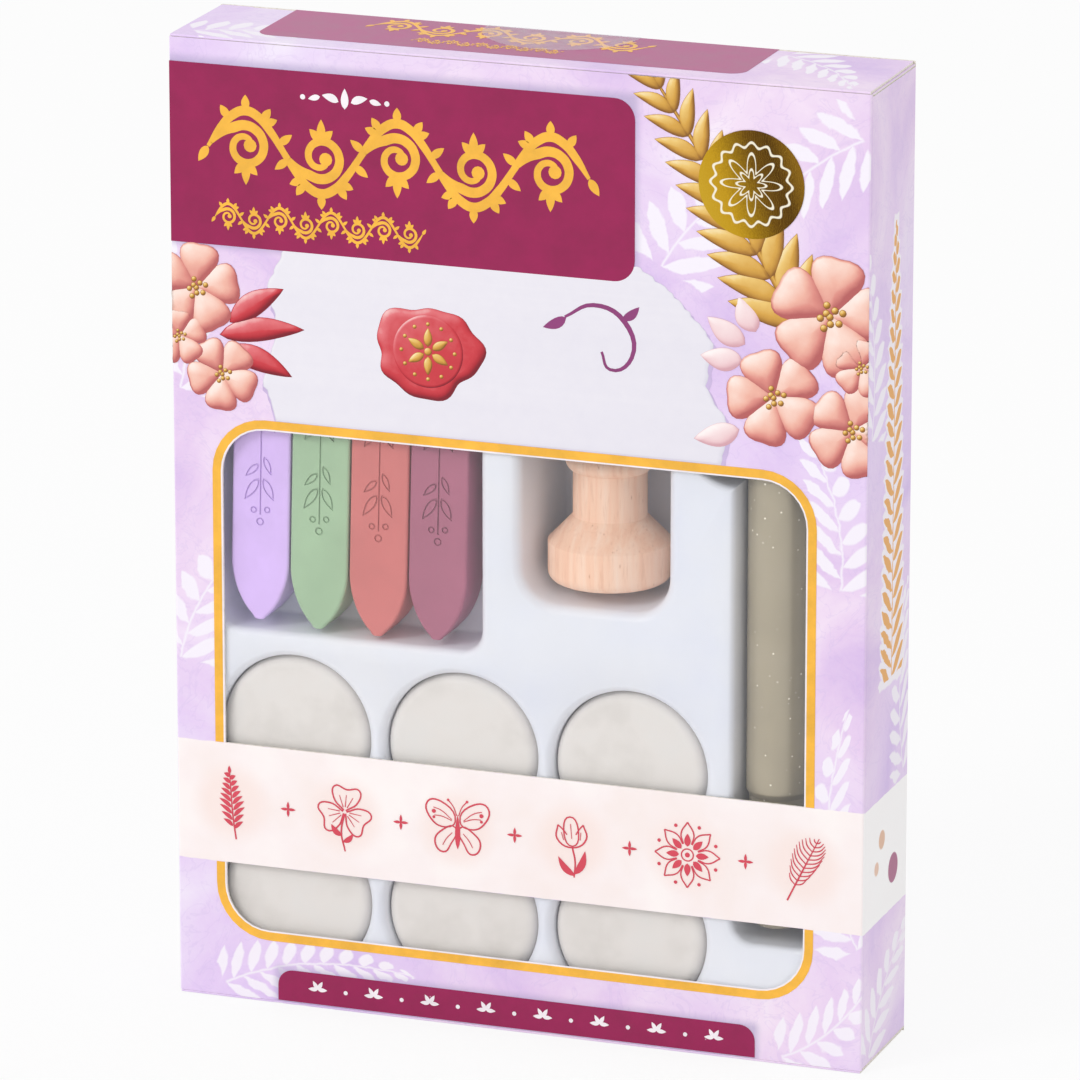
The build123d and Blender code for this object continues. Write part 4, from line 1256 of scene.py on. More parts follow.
class WAXBOX_OT_picture(bpy.types.Operator):
    """Prints the picture above the window: torn paper, a wax seal, blossoms and a gold branch"""

    bl_idname = "waxbox.picture"
    bl_label = "Picture"

    def execute(self, context):
        chance = random.Random(5)
        paper = shaded_print("torn_paper_print", [(0.0, "#D8D5E2"), (0.5, "#E7E4EE"), (0.9, "#F0EDF4")])
        red_wax = shaded_print(
            "seal_print", [(0.05, "#7E1023"), (0.35, "#B3202F"), (0.62, "#CF3A44"), (0.86, "#E5747A"), (1.0, "#F7C3C2")]
        )
        peach = shaded_print(
            "blossom_print", [(0.05, "#B9605F"), (0.35, "#E08F84"), (0.6, "#F3B8A6"), (0.85, "#FCD9CB"), (1.0, "#FFEDE4")]
        )
        pale_pink = shaded_print(
            "bud_print", [(0.05, "#D9A6B0"), (0.4, "#F0CCD0"), (0.8, "#FAE5E6"), (1.0, "#FFF6F5")]
        )
        gold_leaf = shaded_print(
            "gilt_print", [(0.05, "#8A5A1C"), (0.35, "#B9842F"), (0.6, "#D9A545"), (0.85, "#EFC874"), (1.0, "#FBE7B4")]
        )
        plum = ink("tendril_ink", linear("#8E3B76"))

        # torn sheet
        sketch = [(-47, 113.45), (-49.5, 121), (-46.5, 131), (-48.5, 139), (-44, 149), (24, 149), (31.5, 143.5),
                  (38, 136), (36.5, 128), (41.0, 121), (39.5, 113.45)]
        torn = []
        for (x, y), (nx, ny) in zip(sketch, sketch[1:]):
            steps = max(1, int(hypot(nx - x, ny - y) / 0.9))
            for n in range(steps):
                t = n / steps
                wear = 0.0 if n == 0 else chance.uniform(-0.28, 0.28)
                torn.append((x + (nx - x) * t + wear, y + (ny - y) * t + wear * 0.6))
        torn.append(sketch[-1])
        pressed("torn_paper", [pillow(torn, 0.5, 0.02, 2)], 0.035, paper, 0.01)
        lilac_shade = ink("lilac_shade_ink", linear("#CFBBE2"))
        cast = [(x + (0.7 if x > 0 else -0.1), y - 0.8) for x, y in torn]
        printed(on_front(inked("paper_shadow", [cast]), 0.015), lilac_shade)

        # red seal: an uneven poured edge, a raised rim and a plain pressed ornament
        cx, cy, radius = -17.0, 129.5, 9.2
        edge = []
        for n in range(72):
            a = 2 * pi * n / 72
            r = radius * (1 + 0.07 * sin(3 * a + 0.6) + 0.05 * sin(5 * a + 2.0) + 0.03 * sin(9 * a))
            edge.append((cx + 1.12 * r * cos(a), cy + 0.94 * r * sin(a)))
        pour = pillow(edge, 1.5, 0.22, 6)
        rim = pillow(disc(cx, cy, radius * 0.76, 64), 0.8, 0.1, 4)
        rim.location.z = mm(1.0)
        settle(rim)
        bpy.ops.object.mode_set(mode="EDIT")
        select_where("FACE", lambda f: f.normal.z > 0.9 and f.calc_area() > mm(radius) ** 2 * 0.8)
        bpy.ops.mesh.inset(thickness=mm(0.5), depth=mm(-0.6))
        bpy.ops.mesh.inset(thickness=mm(0.3), depth=mm(-0.1))
        bpy.ops.object.mode_set(mode="OBJECT")
        pressed("poured_seal", [pour, rim], 0.055, red_wax)
        ornament = [leaf(cx + 0.9 * cos(a), cy + 0.9 * sin(a), a * 180 / pi, 3.6, 1.7) for a in arc(30, 330, 5)]
        petals = [pillow(one, 0.5, 0.9, 3) for one in ornament]
        petals += [pillow(disc(cx, cy, 0.75, 16), 0.4, 0.9, 3)]
        petals += [pillow(disc(cx + 5.2 * cos(a), cy + 5.2 * sin(a), 0.4, 10), 0.3, 0.9, 2) for a in arc(0, 330, 11)]
        pressed("seal_ornament", petals, 0.09, gold_leaf, 0.01)

        # blossoms left and right
        left_parts, right_parts, hearts = [], [], []
        for n, (x, y, size, turn) in enumerate(
            ((-62.5, 137.5, 19, 12), (-57.5, 121.5, 15.5, 50), (-66.0, 128.0, 12.0, 20))
        ):
            left_parts += blossom(x, y, size, turn, 5, n * 1.2)
            hearts += dotted_heart(x, y, size * 0.22, 2.0 + n)
        for n, (x, y, size, turn) in enumerate(
            ((60.0, 143.0, 25, 8), (49.5, 127.0, 20, 40), (64.5, 122.0, 19, 70), (66.0, 134.0, 12, 10))
        ):
            right_parts += blossom(x, y, size, turn, 5, n * 1.2)
            hearts += dotted_heart(x, y, size * 0.22, 2.0 + n)
        pressed("blossoms_left", left_parts, 0.06, peach)
        pressed("blossoms_right", right_parts, 0.06, peach)
        pressed("blossom_hearts", hearts, 0.095, gold_leaf, 0.01)

        # red leaves at the left and pale buds at the right
        reds = []
        for x, y, turn, long in ((-58, 129, 8, 17), (-56, 131.5, 34, 13), (-57, 126.5, -18, 14)):
            reds.append(pillow(leaf(x, y, turn, long, 4.6, 0.6, 12), 1.5))
        pressed("red_leaves", reds, 0.045, red_wax)
        buds = []
        for x, y, turn, long in ((44, 136.5, 148, 8.5), (43.5, 133.5, 178, 8.0), (46, 139, 118, 7.0), (43, 120.5, 196, 9.0)):
            buds.append(pillow(leaf(x, y, turn, long, 4.4, 0.3, 12), 1.4))
        pressed("pale_buds", buds, 0.05, pale_pink)

        # gold branch that leans to the left
        foot, tip = (57.0, 136.0), (26.5, 184.3)
        lean = atan2(tip[1] - foot[1], tip[0] - foot[0])
        reach = hypot(tip[0] - foot[0], tip[1] - foot[1])
        blades = []
        for n in range(11):
            t = 0.1 + 0.86 * n / 10
            x, y = foot[0] + (tip[0] - foot[0]) * t, foot[1] + (tip[1] - foot[1]) * t
            for side in (1, -1):
                size = 14.5 - 7.0 * t
                turn = lean * 180 / pi + side * (44 - 8 * t)
                blades.append(pillow(leaf(x, y, turn, size, size * 0.33, side * -0.6, 10), 1.2))
        stem = inked("stem", (), [[(*foot, 1.5), ((foot[0] + tip[0]) / 2 + 0.8, (foot[1] + tip[1]) / 2, 1.1), (*tip, 0.5)]], 0.9)
        pressed("gold_branch", [*blades, stem], 0.045, gold_leaf)

        # a plum tendril between the seal and the blossoms
        hook = [(9.5, 138.5, 0.5), (15.0, 141.2, 0.8), (21.0, 138.6, 1.0), (22.4, 132.0, 0.8), (18.2, 129.4, 0.6), (16.6, 132.6, 0.5)]
        tendril = inked("plum_tendril", [leaf(9.8, 138.4, 206, 5.0, 2.0, 0.3), leaf(20.6, 138.9, 40, 4.2, 1.7, -0.3)], [hook])
        printed(on_front(tendril, 0.06), plum)
        return {"FINISHED"}


class WAXBOX_OT_film(bpy.types.Operator):
    """Finishes the clear window film, the gold foil sticker and the clear wafer seal"""

    bl_idname = "waxbox.film"
    bl_label = "Film and stickers"

    def execute(self, context):
        # clear film: a thin glossy sheet with a faint haze
        made, tree = new_material("clear_film")
        place = add(tree, "ShaderNodeTexCoord").outputs["Object"]
        slack = add(tree, "ShaderNodeTexNoise", {"Vector": place, "Scale": 1000 / 38, "Detail": 2.0})
        bump = add(tree, "ShaderNodeBump", {"Strength": 0.2, "Distance": mm(0.8), "Height": slack})
        clear = add(tree, "ShaderNodeBsdfTransparent")
        haze = add(tree, "ShaderNodeBsdfDiffuse", {"Color": linear("#F6F6FD")})
        gloss = add(tree, "ShaderNodeBsdfGlossy", {"Roughness": 0.08, "Normal": bump})
        side = add(tree, "ShaderNodeNewGeometry").outputs["Backfacing"]
        front = add(tree, "ShaderNodeMath", {0: 1.0, 1: side}, operation="SUBTRACT")
        thin = add(tree, "ShaderNodeMath", {0: front, 1: 0.05}, operation="MULTIPLY")
        dusty = add(tree, "ShaderNodeMixShader", {0: thin, 1: clear, 2: haze})
        fresnel = add(tree, "ShaderNodeFresnel", {"IOR": 1.4, "Normal": bump})
        share = add(tree, "ShaderNodeMath", {0: fresnel, 1: front}, operation="MULTIPLY")
        both = add(tree, "ShaderNodeMixShader", {0: share, 1: dusty, 2: gloss})
        add(tree, "ShaderNodeOutputMaterial", {"Surface": both})
        cover(made, "window_film")

        low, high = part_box("wafer_seal")
        made, tree = new_material("clear_wafer")
        place = add(tree, "ShaderNodeTexCoord").outputs["Object"]
        flecks = add(tree, "ShaderNodeTexNoise", {"Vector": place, "Scale": 1000 / 2.5, "Detail": 3.0})
        cloud = add(
            tree, "ShaderNodeMapRange", {"Value": flecks, "From Min": 0.3, "From Max": 0.8, "To Min": 0.24, "To Max": 0.40}
        )
        clear = add(tree, "ShaderNodeBsdfTransparent")
        glue = add(
            tree, "ShaderNodeBsdfPrincipled", {"Base Color": linear("#EFE9F2"), "Roughness": 0.22, "Coat Weight": 0.5}
        )
        both = add(tree, "ShaderNodeMixShader", {0: cloud, 1: clear, 2: glue})
        add(tree, "ShaderNodeOutputMaterial", {"Surface": both})
        cover(made, "wafer_seal")

        # gold foil on paper: a painted reflection sweeping from bright to dark, fine grain and hairline scratches
        low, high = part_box("foil_sticker")
        made, tree = new_material("gold_foil")
        place = add(tree, "ShaderNodeTexCoord").outputs["Object"]
        centred = add(
            tree,
            "ShaderNodeMapping",
            {"Vector": place, "Location": (-(low.x + high.x) * 500, 0, -(low.z + high.z) * 500), "Scale": (1000, 1000, 1000)},
        )
        at = add(tree, "ShaderNodeSeparateXYZ", {"Vector": centred})
        # painted reflection: the foil is painted bright at the left and dark towards the right
        reflection_sweep = add(tree, "ShaderNodeMath", {0: at.outputs["Z"], 1: 0.35, 2: at.outputs["X"]}, operation="MULTIPLY_ADD")
        grain = add(tree, "ShaderNodeTexNoise", {"Vector": centred, "Scale": 2.6, "Detail": 6.0, "Roughness": 0.8})
        mottled = add(tree, "ShaderNodeMath", {0: grain, 1: 8.0, 2: reflection_sweep}, operation="MULTIPLY_ADD")
        tone = add(
            tree,
            "ShaderNodeMapRange",
            {"Value": mottled, "From Min": -6.0, "From Max": 14.0},
        )
        foil = add(
            tree,
            "ShaderNodeValToRGB",
            {"Fac": tone},
            stops=[(0.0, "#CFA62A"), (0.22, "#C79B1C"), (0.42, "#9B7510"), (0.6, "#6B4908"), (0.8, "#553704"), (1.0, "#8A6414")],
        )
        reach = add(tree, "ShaderNodeVectorMath", {0: add(
            tree, "ShaderNodeCombineXYZ", {0: at.outputs["X"], 1: at.outputs["Z"]})}, operation="LENGTH").outputs["Value"]
        angle = add(tree, "ShaderNodeMath", {0: at.outputs["Z"], 1: at.outputs["X"]}, operation="ARCTAN2")
        inks = []
        for petals, size, swing, width in ((8, 4.0, 1.7, 0.26), (8, 2.1, 0.7, 0.22), (16, 7.3, 0.45, 0.22)):
            turned = add(tree, "ShaderNodeMath", {0: angle, 1: float(petals)}, operation="MULTIPLY")
            wave = add(tree, "ShaderNodeMath", {0: turned}, operation="COSINE")
            line = add(tree, "ShaderNodeMath", {0: wave, 1: swing, 2: size}, operation="MULTIPLY_ADD")
            off = add(tree, "ShaderNodeMath", {0: reach, 1: line}, operation="SUBTRACT")
            away = add(tree, "ShaderNodeMath", {0: off}, operation="ABSOLUTE")
            inks.append(
                add(
                    tree,
                    "ShaderNodeMapRange",
                    {"Value": away, "From Min": width + 0.10, "From Max": width - 0.06},
                )
            )
        drawn = inks[0]
        for one in inks[1:]:
            drawn = add(tree, "ShaderNodeMath", {0: drawn, 1: one}, operation="MAXIMUM")
        front = add(
            tree, "ShaderNodeMapRange", {"Value": at.outputs["Y"], "From Min": -13.08, "From Max": -13.1}
        )
        drawn = add(tree, "ShaderNodeMath", {0: drawn, 1: front}, operation="MULTIPLY")
        scratch = add(
            tree,
            "ShaderNodeTexWave",
            {"Vector": centred, "Scale": 0.9, "Distortion": 14.0, "Detail": 2.0, "Detail Scale": 0.6},
        )
        hair = add(
            tree, "ShaderNodeMapRange", {"Value": scratch, "From Min": 0.985, "From Max": 1.0, "To Min": 0.0, "To Max": 0.5}
        )
        scuffed = add(tree, "ShaderNodeMix", {0: hair, 6: foil, 7: linear("#D8B548")}, data_type="RGBA")
        colour = add(tree, "ShaderNodeMix", {0: drawn, 6: scuffed, 7: linear("#F6EFD9")}, data_type="RGBA")
        metal = add(tree, "ShaderNodeMapRange", {"Value": drawn, "To Min": 0.85, "To Max": 0.0})
        rough = add(
            tree, "ShaderNodeMapRange", {"Value": grain, "From Min": 0.3, "From Max": 0.7, "To Min": 0.3, "To Max": 0.46}
        )
        bump = add(tree, "ShaderNodeBump", {"Strength": 0.2, "Distance": mm(0.03), "Height": grain})
        shader = add(
            tree,
            "ShaderNodeBsdfPrincipled",
            {"Base Color": colour, "Metallic": metal, "Roughness": rough, "Normal": bump},
        )
        add(tree, "ShaderNodeOutputMaterial", {"Surface": shader})
        cover(made, "foil_sticker")
        return {"FINISHED"}



def pocket_tool(shape, deep, floor_round, lip, draft=2.5):
    """A solid that presses a pocket: shape is (radius,) or (width, height, corner), all in mm."""
    slope = tan(radians(draft))
    start = 0.577 * lip + (0.3 + 0.094 * lip) / tan(radians(25))
    if len(shape) == 1:
        round_face(shape[0] + start)
    else:
        rounded_face(shape[0] + 2 * start, shape[1] + 2 * start, shape[2] + start)
    bpy.ops.transform.translate(value=(0, 0, mm(-0.3)))
    profile = [(start, -0.3)]
    profile += [(lip * (1 - sin(a)), lip * (1 - cos(a))) for a in arc(25, 90, 5)]
    straight = deep - floor_round - lip
    foot = -straight * slope
    profile.append((foot, deep - floor_round))
    profile += [
        (foot - floor_round * (1 - cos(a)), deep - floor_round + floor_round * sin(a)) for a in arc(22.5, 90, 3)
    ]
    stepped(profile)
    tool = bpy.context.object
    close_and_leave()
    return tool


class WAXBOX_OT_tray(bpy.types.Operator):
    """Forms the white tray: a skirted block with a pocket for each thing, as one thin sheet"""

    bl_idname = "waxbox.tray"
    bl_label = "Blister tray"

    def execute(self, context):
        sizes = context.scene.waxbox_contents
        low, high = (corner * 1000 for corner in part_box("blister_tray"))
        flange, skirt_end, deepest = low.y, -0.25, 12.0
        flare = tan(radians(4))
        edge = sizes.flange_round * 1000
        block = rounded_face(high.x - low.x, high.z - low.z, 4.0, 12)
        bpy.ops.transform.translate(value=(0, 0, mm(-deepest)))
        skirt = skirt_end - flange
        side = [(0, 0), (0, deepest - skirt_end), (-(skirt - edge) * flare, deepest - flange - edge)]
        side += [
            (side[-1][0] - edge * (1 - cos(a)), deepest - flange - edge + edge * sin(a)) for a in arc(18, 90, 4)
        ]
        stepped(side)
        close_and_leave()
        block.rotation_euler = (pi / 2, 0, 0)
        block.location = ((low.x + high.x) / 2000, 0, (low.z + high.z) / 2000)
        settle(block)

        lip = sizes.mouth * 1000
        heads = []
        for n in range(1, 7):
            a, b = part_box(f"stamp_head_{n}")
            heads.append(((a.x + b.x) * 500, (a.z + b.z) * 500))
        pockets = [(x, z, (14.95,), 11.25, 0.6, lip, 0.5) for x, z in heads]
        pockets += [
            (-33.3, 120.13, (52.1, 95.0, 4.0), 10.8, 0.7, 1.6, 3.0),
            (14.75, 126.13, (28.6, 85.8, 7.0), 23.35, 1.6, 2.2, 3.0),
            (49.87, 94.88, (16.0, 145.2, 4.0), 13.0, 1.0, 1.4, 3.0),
            (41.87, 118.0, (9.0,), 9.0, 1.6, 1.4, 2.5),
        ]
        for x, z, shape, deep, floor_round, mouth, draft in pockets:
            tool = pocket_tool(shape, deep, floor_round, mouth, draft)
            tool.rotation_euler = (-pi / 2, 0, 0)
            tool.location = (mm(x), mm(flange), mm(z))
            settle(tool)
            cut(block, tool)

        only(block)
        bpy.ops.object.mode_set(mode="EDIT")
        bpy.ops.mesh.select_all(action="SELECT")
        bpy.ops.mesh.quads_convert_to_tris(quad_method="BEAUTY", ngon_method="BEAUTY")
        select_where(
            "FACE",
            lambda f: middle(f).y > mm(deepest) - 0.0001
            or middle(f).y > mm(skirt_end) + 0.00005
            and (
                abs(middle(f).x) > mm(high.x - 0.2)
                or middle(f).z < mm(low.z + 0.9)
                or middle(f).z > mm(high.z - 0.9)
            ),
        )
        bpy.ops.mesh.delete(type="FACE")
        bpy.ops.mesh.select_all(action="SELECT")
        bpy.ops.mesh.remove_doubles(threshold=0.000004)
        bpy.ops.object.mode_set(mode="OBJECT")
        wall = block.modifiers.new("wall", "SOLIDIFY")
        wall.thickness = sizes.sheet
        wall.offset = -1
        bpy.ops.object.modifier_apply(modifier=wall.name)
        block.name = block.data.name = "formed_tray"
        smooth(block, 35)

        # glossy white polystyrene with the faint flow of a stretched sheet
        made, tree = new_material("white_polystyrene")
        place = add(tree, "ShaderNodeTexCoord").outputs["Object"]
        flow = add(tree, "ShaderNodeTexNoise", {"Vector": place, "Scale": 1000 / 22, "Detail": 3.0})
        colour = add(
            tree, "ShaderNodeValToRGB", {"Fac": flow}, stops=[(0.3, "#ECF0FF"), (0.5, sizes.tray), (0.7, "#F6F8FF")]
        )
        rough = add(
            tree, "ShaderNodeMapRange", {"Value": flow, "From Min": 0.3, "From Max": 0.7, "To Min": 0.3, "To Max": 0.42}
        )
        skin = add(tree, "ShaderNodeTexNoise", {"Vector": place, "Scale": 1000 / 2.0, "Detail": 3.0})
        bump = add(tree, "ShaderNodeBump", {"Strength": 0.08, "Distance": mm(0.06), "Height": skin})
        shader = add(
            tree,
            "ShaderNodeBsdfPrincipled",
            {
                "Base Color": colour,
                "Roughness": rough,
                "Normal": bump,
                "Subsurface Weight": 0.3,
                "Subsurface Radius": (1.0, 1.0, 1.0),
                "Subsurface Scale": mm(1.2),
            },
        )
        add(tree, "ShaderNodeOutputMaterial", {"Surface": shader})
        block.data.materials.clear()
        block.data.materials.append(made)
        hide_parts("blister_tray")
        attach(block, "carton")
        return {"FINISHED"}


class WAXBOX_OT_sticks(bpy.types.Operator):
    """Makes the wax sticks with their pressed twigs, and their wicks"""

    bl_idname = "waxbox.sticks"
    bl_label = "Wax sticks"

    def execute(self, context):
        sizes = context.scene.waxbox_contents
        names = ("lilac", "green", "red", "plum")
        half, tall, deep, blunt, tapered = 5.7, 92.0, 9.4, 0.9, 11.6
        shoulder = [(blunt, 0)]
        shoulder += [(half * (1 - (1 - n / 14) ** 1.9) ** 0.68, tapered * n / 14) for n in range(1, 15)]
        outline = [*shoulder, (half, tall), (0, tall - 3.6), *((-x, y) for x, y in reversed([*shoulder, (half, tall)]))]
        stick = inked("stick", [outline], thick=deep)
        stick.location.z = mm(-deep / 2)
        settle(stick)
        bpy.ops.object.mode_set(mode="EDIT")
        bpy.ops.mesh.select_all(action="SELECT")
        bpy.ops.mesh.remove_doubles(threshold=0.00001)
        bpy.ops.mesh.normals_make_consistent(inside=False)
        bpy.ops.object.mode_set(mode="OBJECT")
        soft = stick.modifiers.new("soft", "BEVEL")
        soft.width = mm(0.55)
        soft.segments = 4
        soft.limit_method = "ANGLE"
        soft.angle_limit = radians(40)
        bpy.ops.object.modifier_apply(modifier=soft.name)

        # a pressed line sprig: stem, hanging leaves and three berries at its foot, and one above it upside down
        width = sizes.groove * 1000
        low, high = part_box("wax_stick_lilac")
        lean = radians(1.4)
        tip = [v.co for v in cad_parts["wax_stick_lilac"].data.vertices if v.co.z < low.z + mm(0.05)]
        foot = Vector((sum(p.x for p in tip) / len(tip), low.y, low.z))
        berries, pitch, centre = 19.0, 13.2, 46.0
        stem = [(-width / 2, berries + 1.35), (width / 2, berries + 1.35), (width / 2, centre - 1.35), (-width / 2, centre - 1.35)]
        lines = [[stem]]
        for x, y, r in ((0, 0, 0.78), (-1.3, 2.15, 0.66), (1.38, 2.4, 0.66)):
            lines.append([disc(x, berries + y, r, 18), disc(x, berries + y, r - width, 18)])
        hanging = ((-0.34, 8.3, 237, 5.2, 1.75), (0.52, 8.4, 297, 4.7, 1.7), (-0.34, 11.1, 224, 3.8, 1.35), (0.6, 12.6, 293, 3.8, 1.3))
        for step in (0, pitch):
            for x, y, turn, size, broad in hanging:
                inset = (x + 0.5 * cos(radians(turn)), berries + step + y + 0.5 * sin(radians(turn)))
                lines.append(
                    [
                        leaf(x, berries + step + y, turn, size, broad, 0.0, 12),
                        leaf(*inset, turn, size - 1.1, broad - 1.9 * width, 0.0, 12),
                    ]
                )
        lines += [[[(-x, 2 * centre - y) for x, y in edge] for edge in line] for line in lines]
        lines.append([disc(0, centre, 0.95, 20), disc(0, centre, 0.95 - width, 20)])
        nibs = []
        for line in lines:
            nib = curve_object(True)
            nib.data.fill_mode = "BOTH"
            nib.data.extrude = mm(0.24)
            for outline in line:
                edge = nib.data.splines.new("POLY")
                edge.points.add(len(outline) - 1)
                for point, (x, y) in zip(edge.points, outline):
                    point.co = (mm(x), mm(y), 0, 1)
                edge.use_cyclic_u = True
            nibs.append(nib)
        only(*nibs)
        bpy.ops.object.convert(target="MESH")
        pen = join("pen", nibs)
        bpy.ops.object.mode_set(mode="EDIT")
        bpy.ops.mesh.select_all(action="SELECT")
        bpy.ops.mesh.remove_doubles(threshold=0.000002)
        bpy.ops.mesh.normals_make_consistent(inside=False)
        bpy.ops.object.mode_set(mode="OBJECT")
        cut(stick, pen)
        smooth(stick, 50)
        level = stick.modifiers.new("level", "WEIGHTED_NORMAL")
        level.keep_sharp = True
        bpy.ops.object.modifier_apply(modifier=level.name)
        stick.data.transform(
            Matrix.Translation(foot) @ Matrix.Rotation(lean, 4, "Y") @ Matrix.Rotation(pi / 2, 4, "X")
        )

        for name in names:
            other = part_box(f"wax_stick_{name}")[0]
            one = copied(stick, other - low)
            one.name = one.data.name = f"pressed_stick_{name}"
            one.data.materials.clear()
            one.data.materials.append(wax(f"sealing_wax_{name}", getattr(sizes, name)))
            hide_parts(f"wax_stick_{name}")
            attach(one, "carton")
        bpy.data.objects.remove(stick)

        # twisted cotton
        made, tree = new_material("cotton_wick")
        place = add(tree, "ShaderNodeTexCoord").outputs["Object"]
        twist = add(
            tree,
            "ShaderNodeTexWave",
            {"Vector": place, "Scale": 1000 / 6, "Distortion": 1.5, "Detail": 3.0},
            bands_direction="DIAGONAL",
        )
        colour = add(tree, "ShaderNodeValToRGB", {"Fac": twist}, stops=[(0.1, "#CFC7B6"), (0.6, "#F0EADD")])
        bump = add(tree, "ShaderNodeBump", {"Strength": 0.6, "Distance": mm(0.1), "Height": twist})
        shader = add(tree, "ShaderNodeBsdfPrincipled", {"Base Color": colour, "Roughness": 0.9, "Normal": bump})
        add(tree, "ShaderNodeOutputMaterial", {"Surface": shader})
        cover(made, *(f"wick_{name}" for name in names))
        return {"FINISHED"}


class WAXBOX_OT_handle(bpy.types.Operator):
    """Finishes the turned handle in beech"""

    bl_idname = "waxbox.handle"
    bl_label = "Wooden handle"

    def execute(self, context):
        sizes = context.scene.waxbox_contents
        # steamed beech, oiled: straight grain along the handle and short dark ray flecks
        made, tree = new_material("steamed_beech")
        place = add(tree, "ShaderNodeTexCoord").outputs["Object"]
        grain_place = add(tree, "ShaderNodeMapping", {"Vector": place, "Scale": (1000 / 1.6, 1000 / 5.0, 1000 / 34)})
        grain = add(tree, "ShaderNodeTexNoise", {"Vector": grain_place, "Scale": 1.0, "Detail": 5.0, "Roughness": 0.6, "Distortion": 0.4})
        fine_place = add(tree, "ShaderNodeMapping", {"Vector": place, "Scale": (1000 / 0.45, 1000 / 0.45, 1000 / 4.0)})
        fine = add(tree, "ShaderNodeTexNoise", {"Vector": fine_place, "Scale": 1.0, "Detail": 2.0})
        colour = add(
            tree,
            "ShaderNodeValToRGB",
            {"Fac": grain},
            stops=[(0.26, "#F7C4A5"), (0.42, "#FCCEB0"), (0.58, sizes.beech), (0.75, "#FFE0CB")],
        )
        fleck_place = add(tree, "ShaderNodeMapping", {"Vector": place, "Scale": (1000 / 1.3, 1000 / 1.3, 1000 / 4.2)})
        cells = add(tree, "ShaderNodeTexVoronoi", {"Vector": fleck_place, "Scale": 1.0, "Randomness": 1.0})
        fleck = add(
            tree,
            "ShaderNodeMapRange",
            {"Value": cells.outputs["Distance"], "From Min": 0.07, "From Max": 0.13, "To Min": 0.6, "To Max": 0.0},
        )
        flecked = add(tree, "ShaderNodeMix", {0: fleck, 6: colour, 7: linear("#C98A62")}, data_type="RGBA")
        pores = add(
            tree,
            "ShaderNodeMapRange",
            {"Value": fine, "From Min": 0.33, "From Max": 0.42, "To Min": 0.22, "To Max": 0.0},
        )
        pored = add(tree, "ShaderNodeMix", {0: pores, 6: flecked, 7: linear("#D9A07C")}, data_type="RGBA")
        turned = add(
            tree, "ShaderNodeTexWave", {"Vector": place, "Scale": 1000 / 9, "Distortion": 0.6, "Detail": 1.0}, bands_direction="Z"
        )
        rings = add(tree, "ShaderNodeBump", {"Strength": 0.06, "Distance": mm(0.05), "Height": turned})
        bump = add(tree, "ShaderNodeBump", {"Strength": 0.2, "Distance": mm(0.06), "Height": fine, "Normal": rings})
        rough = add(
            tree, "ShaderNodeMapRange", {"Value": grain, "From Min": 0.3, "From Max": 0.7, "To Min": 0.5, "To Max": 0.62}
        )
        shader = add(
            tree,
            "ShaderNodeBsdfPrincipled",
            {"Base Color": pored, "Roughness": rough, "Normal": bump, "Specular IOR Level": 0.35},
        )
        add(tree, "ShaderNodeOutputMaterial", {"Surface": shader})
        cover(made, "wooden_handle")
        return {"FINISHED"}


class WAXBOX_OT_heads(bpy.types.Operator):
    """Finishes the six stamp heads in matte rubber"""

    bl_idname = "waxbox.heads"
    bl_label = "Stamp heads"

    def execute(self, context):
        sizes = context.scene.waxbox_contents
        # matte silicone with a chalky bloom
        made, tree = new_material("matte_silicone")
        place = add(tree, "ShaderNodeTexCoord").outputs["Object"]
        bloom = add(tree, "ShaderNodeTexNoise", {"Vector": place, "Scale": 1000 / 14, "Detail": 5.0, "Roughness": 0.6})
        colour = add(
            tree,
            "ShaderNodeValToRGB",
            {"Fac": bloom},
            stops=[(0.3, "#DDD8D2"), (0.5, sizes.head), (0.7, "#E9E6E2")],
        )
        lint = add(tree, "ShaderNodeTexVoronoi", {"Vector": place, "Scale": 1000 / 3.2, "Randomness": 1.0})
        speck = add(
            tree,
            "ShaderNodeMapRange",
            {"Value": lint.outputs["Distance"], "From Min": 0.02, "From Max": 0.05, "To Min": 0.5, "To Max": 0.0},
        )
        dusty = add(tree, "ShaderNodeMix", {0: speck, 6: colour, 7: linear("#F7F5F2")}, data_type="RGBA")
        # painted shade: the rounded rim is painted greyer than the face, where it turns from the light
        facing = add(
            tree,
            "ShaderNodeSeparateXYZ",
            {"Vector": add(tree, "ShaderNodeNewGeometry").outputs["Normal"]},
        )
        rim = add(
            tree,
            "ShaderNodeMapRange",
            {"Value": facing.outputs["Y"], "From Min": -0.97, "From Max": -0.3, "To Min": 0.0, "To Max": 0.6},
        )
        wear_and_shade = add(tree, "ShaderNodeMix", {0: rim, 6: dusty, 7: linear("#B4AFAA")}, data_type="RGBA")
        skin = add(tree, "ShaderNodeTexNoise", {"Vector": place, "Scale": 1000 / 0.9, "Detail": 4.0})
        bump = add(tree, "ShaderNodeBump", {"Strength": 0.12, "Distance": mm(0.05), "Height": skin})
        rough = add(
            tree, "ShaderNodeMapRange", {"Value": bloom, "From Min": 0.3, "From Max": 0.7, "To Min": 0.55, "To Max": 0.7}
        )
        shader = add(
            tree,
            "ShaderNodeBsdfPrincipled",
            {
                "Base Color": wear_and_shade,
                "Roughness": rough,
                "Normal": bump,
                "Specular IOR Level": 0.3,
                "Sheen Weight": 0.15,
            },
        )
        add(tree, "ShaderNodeOutputMaterial", {"Surface": shader})
        cover(made, *(f"stamp_head_{n}" for n in range(1, 7)))
        return {"FINISHED"}


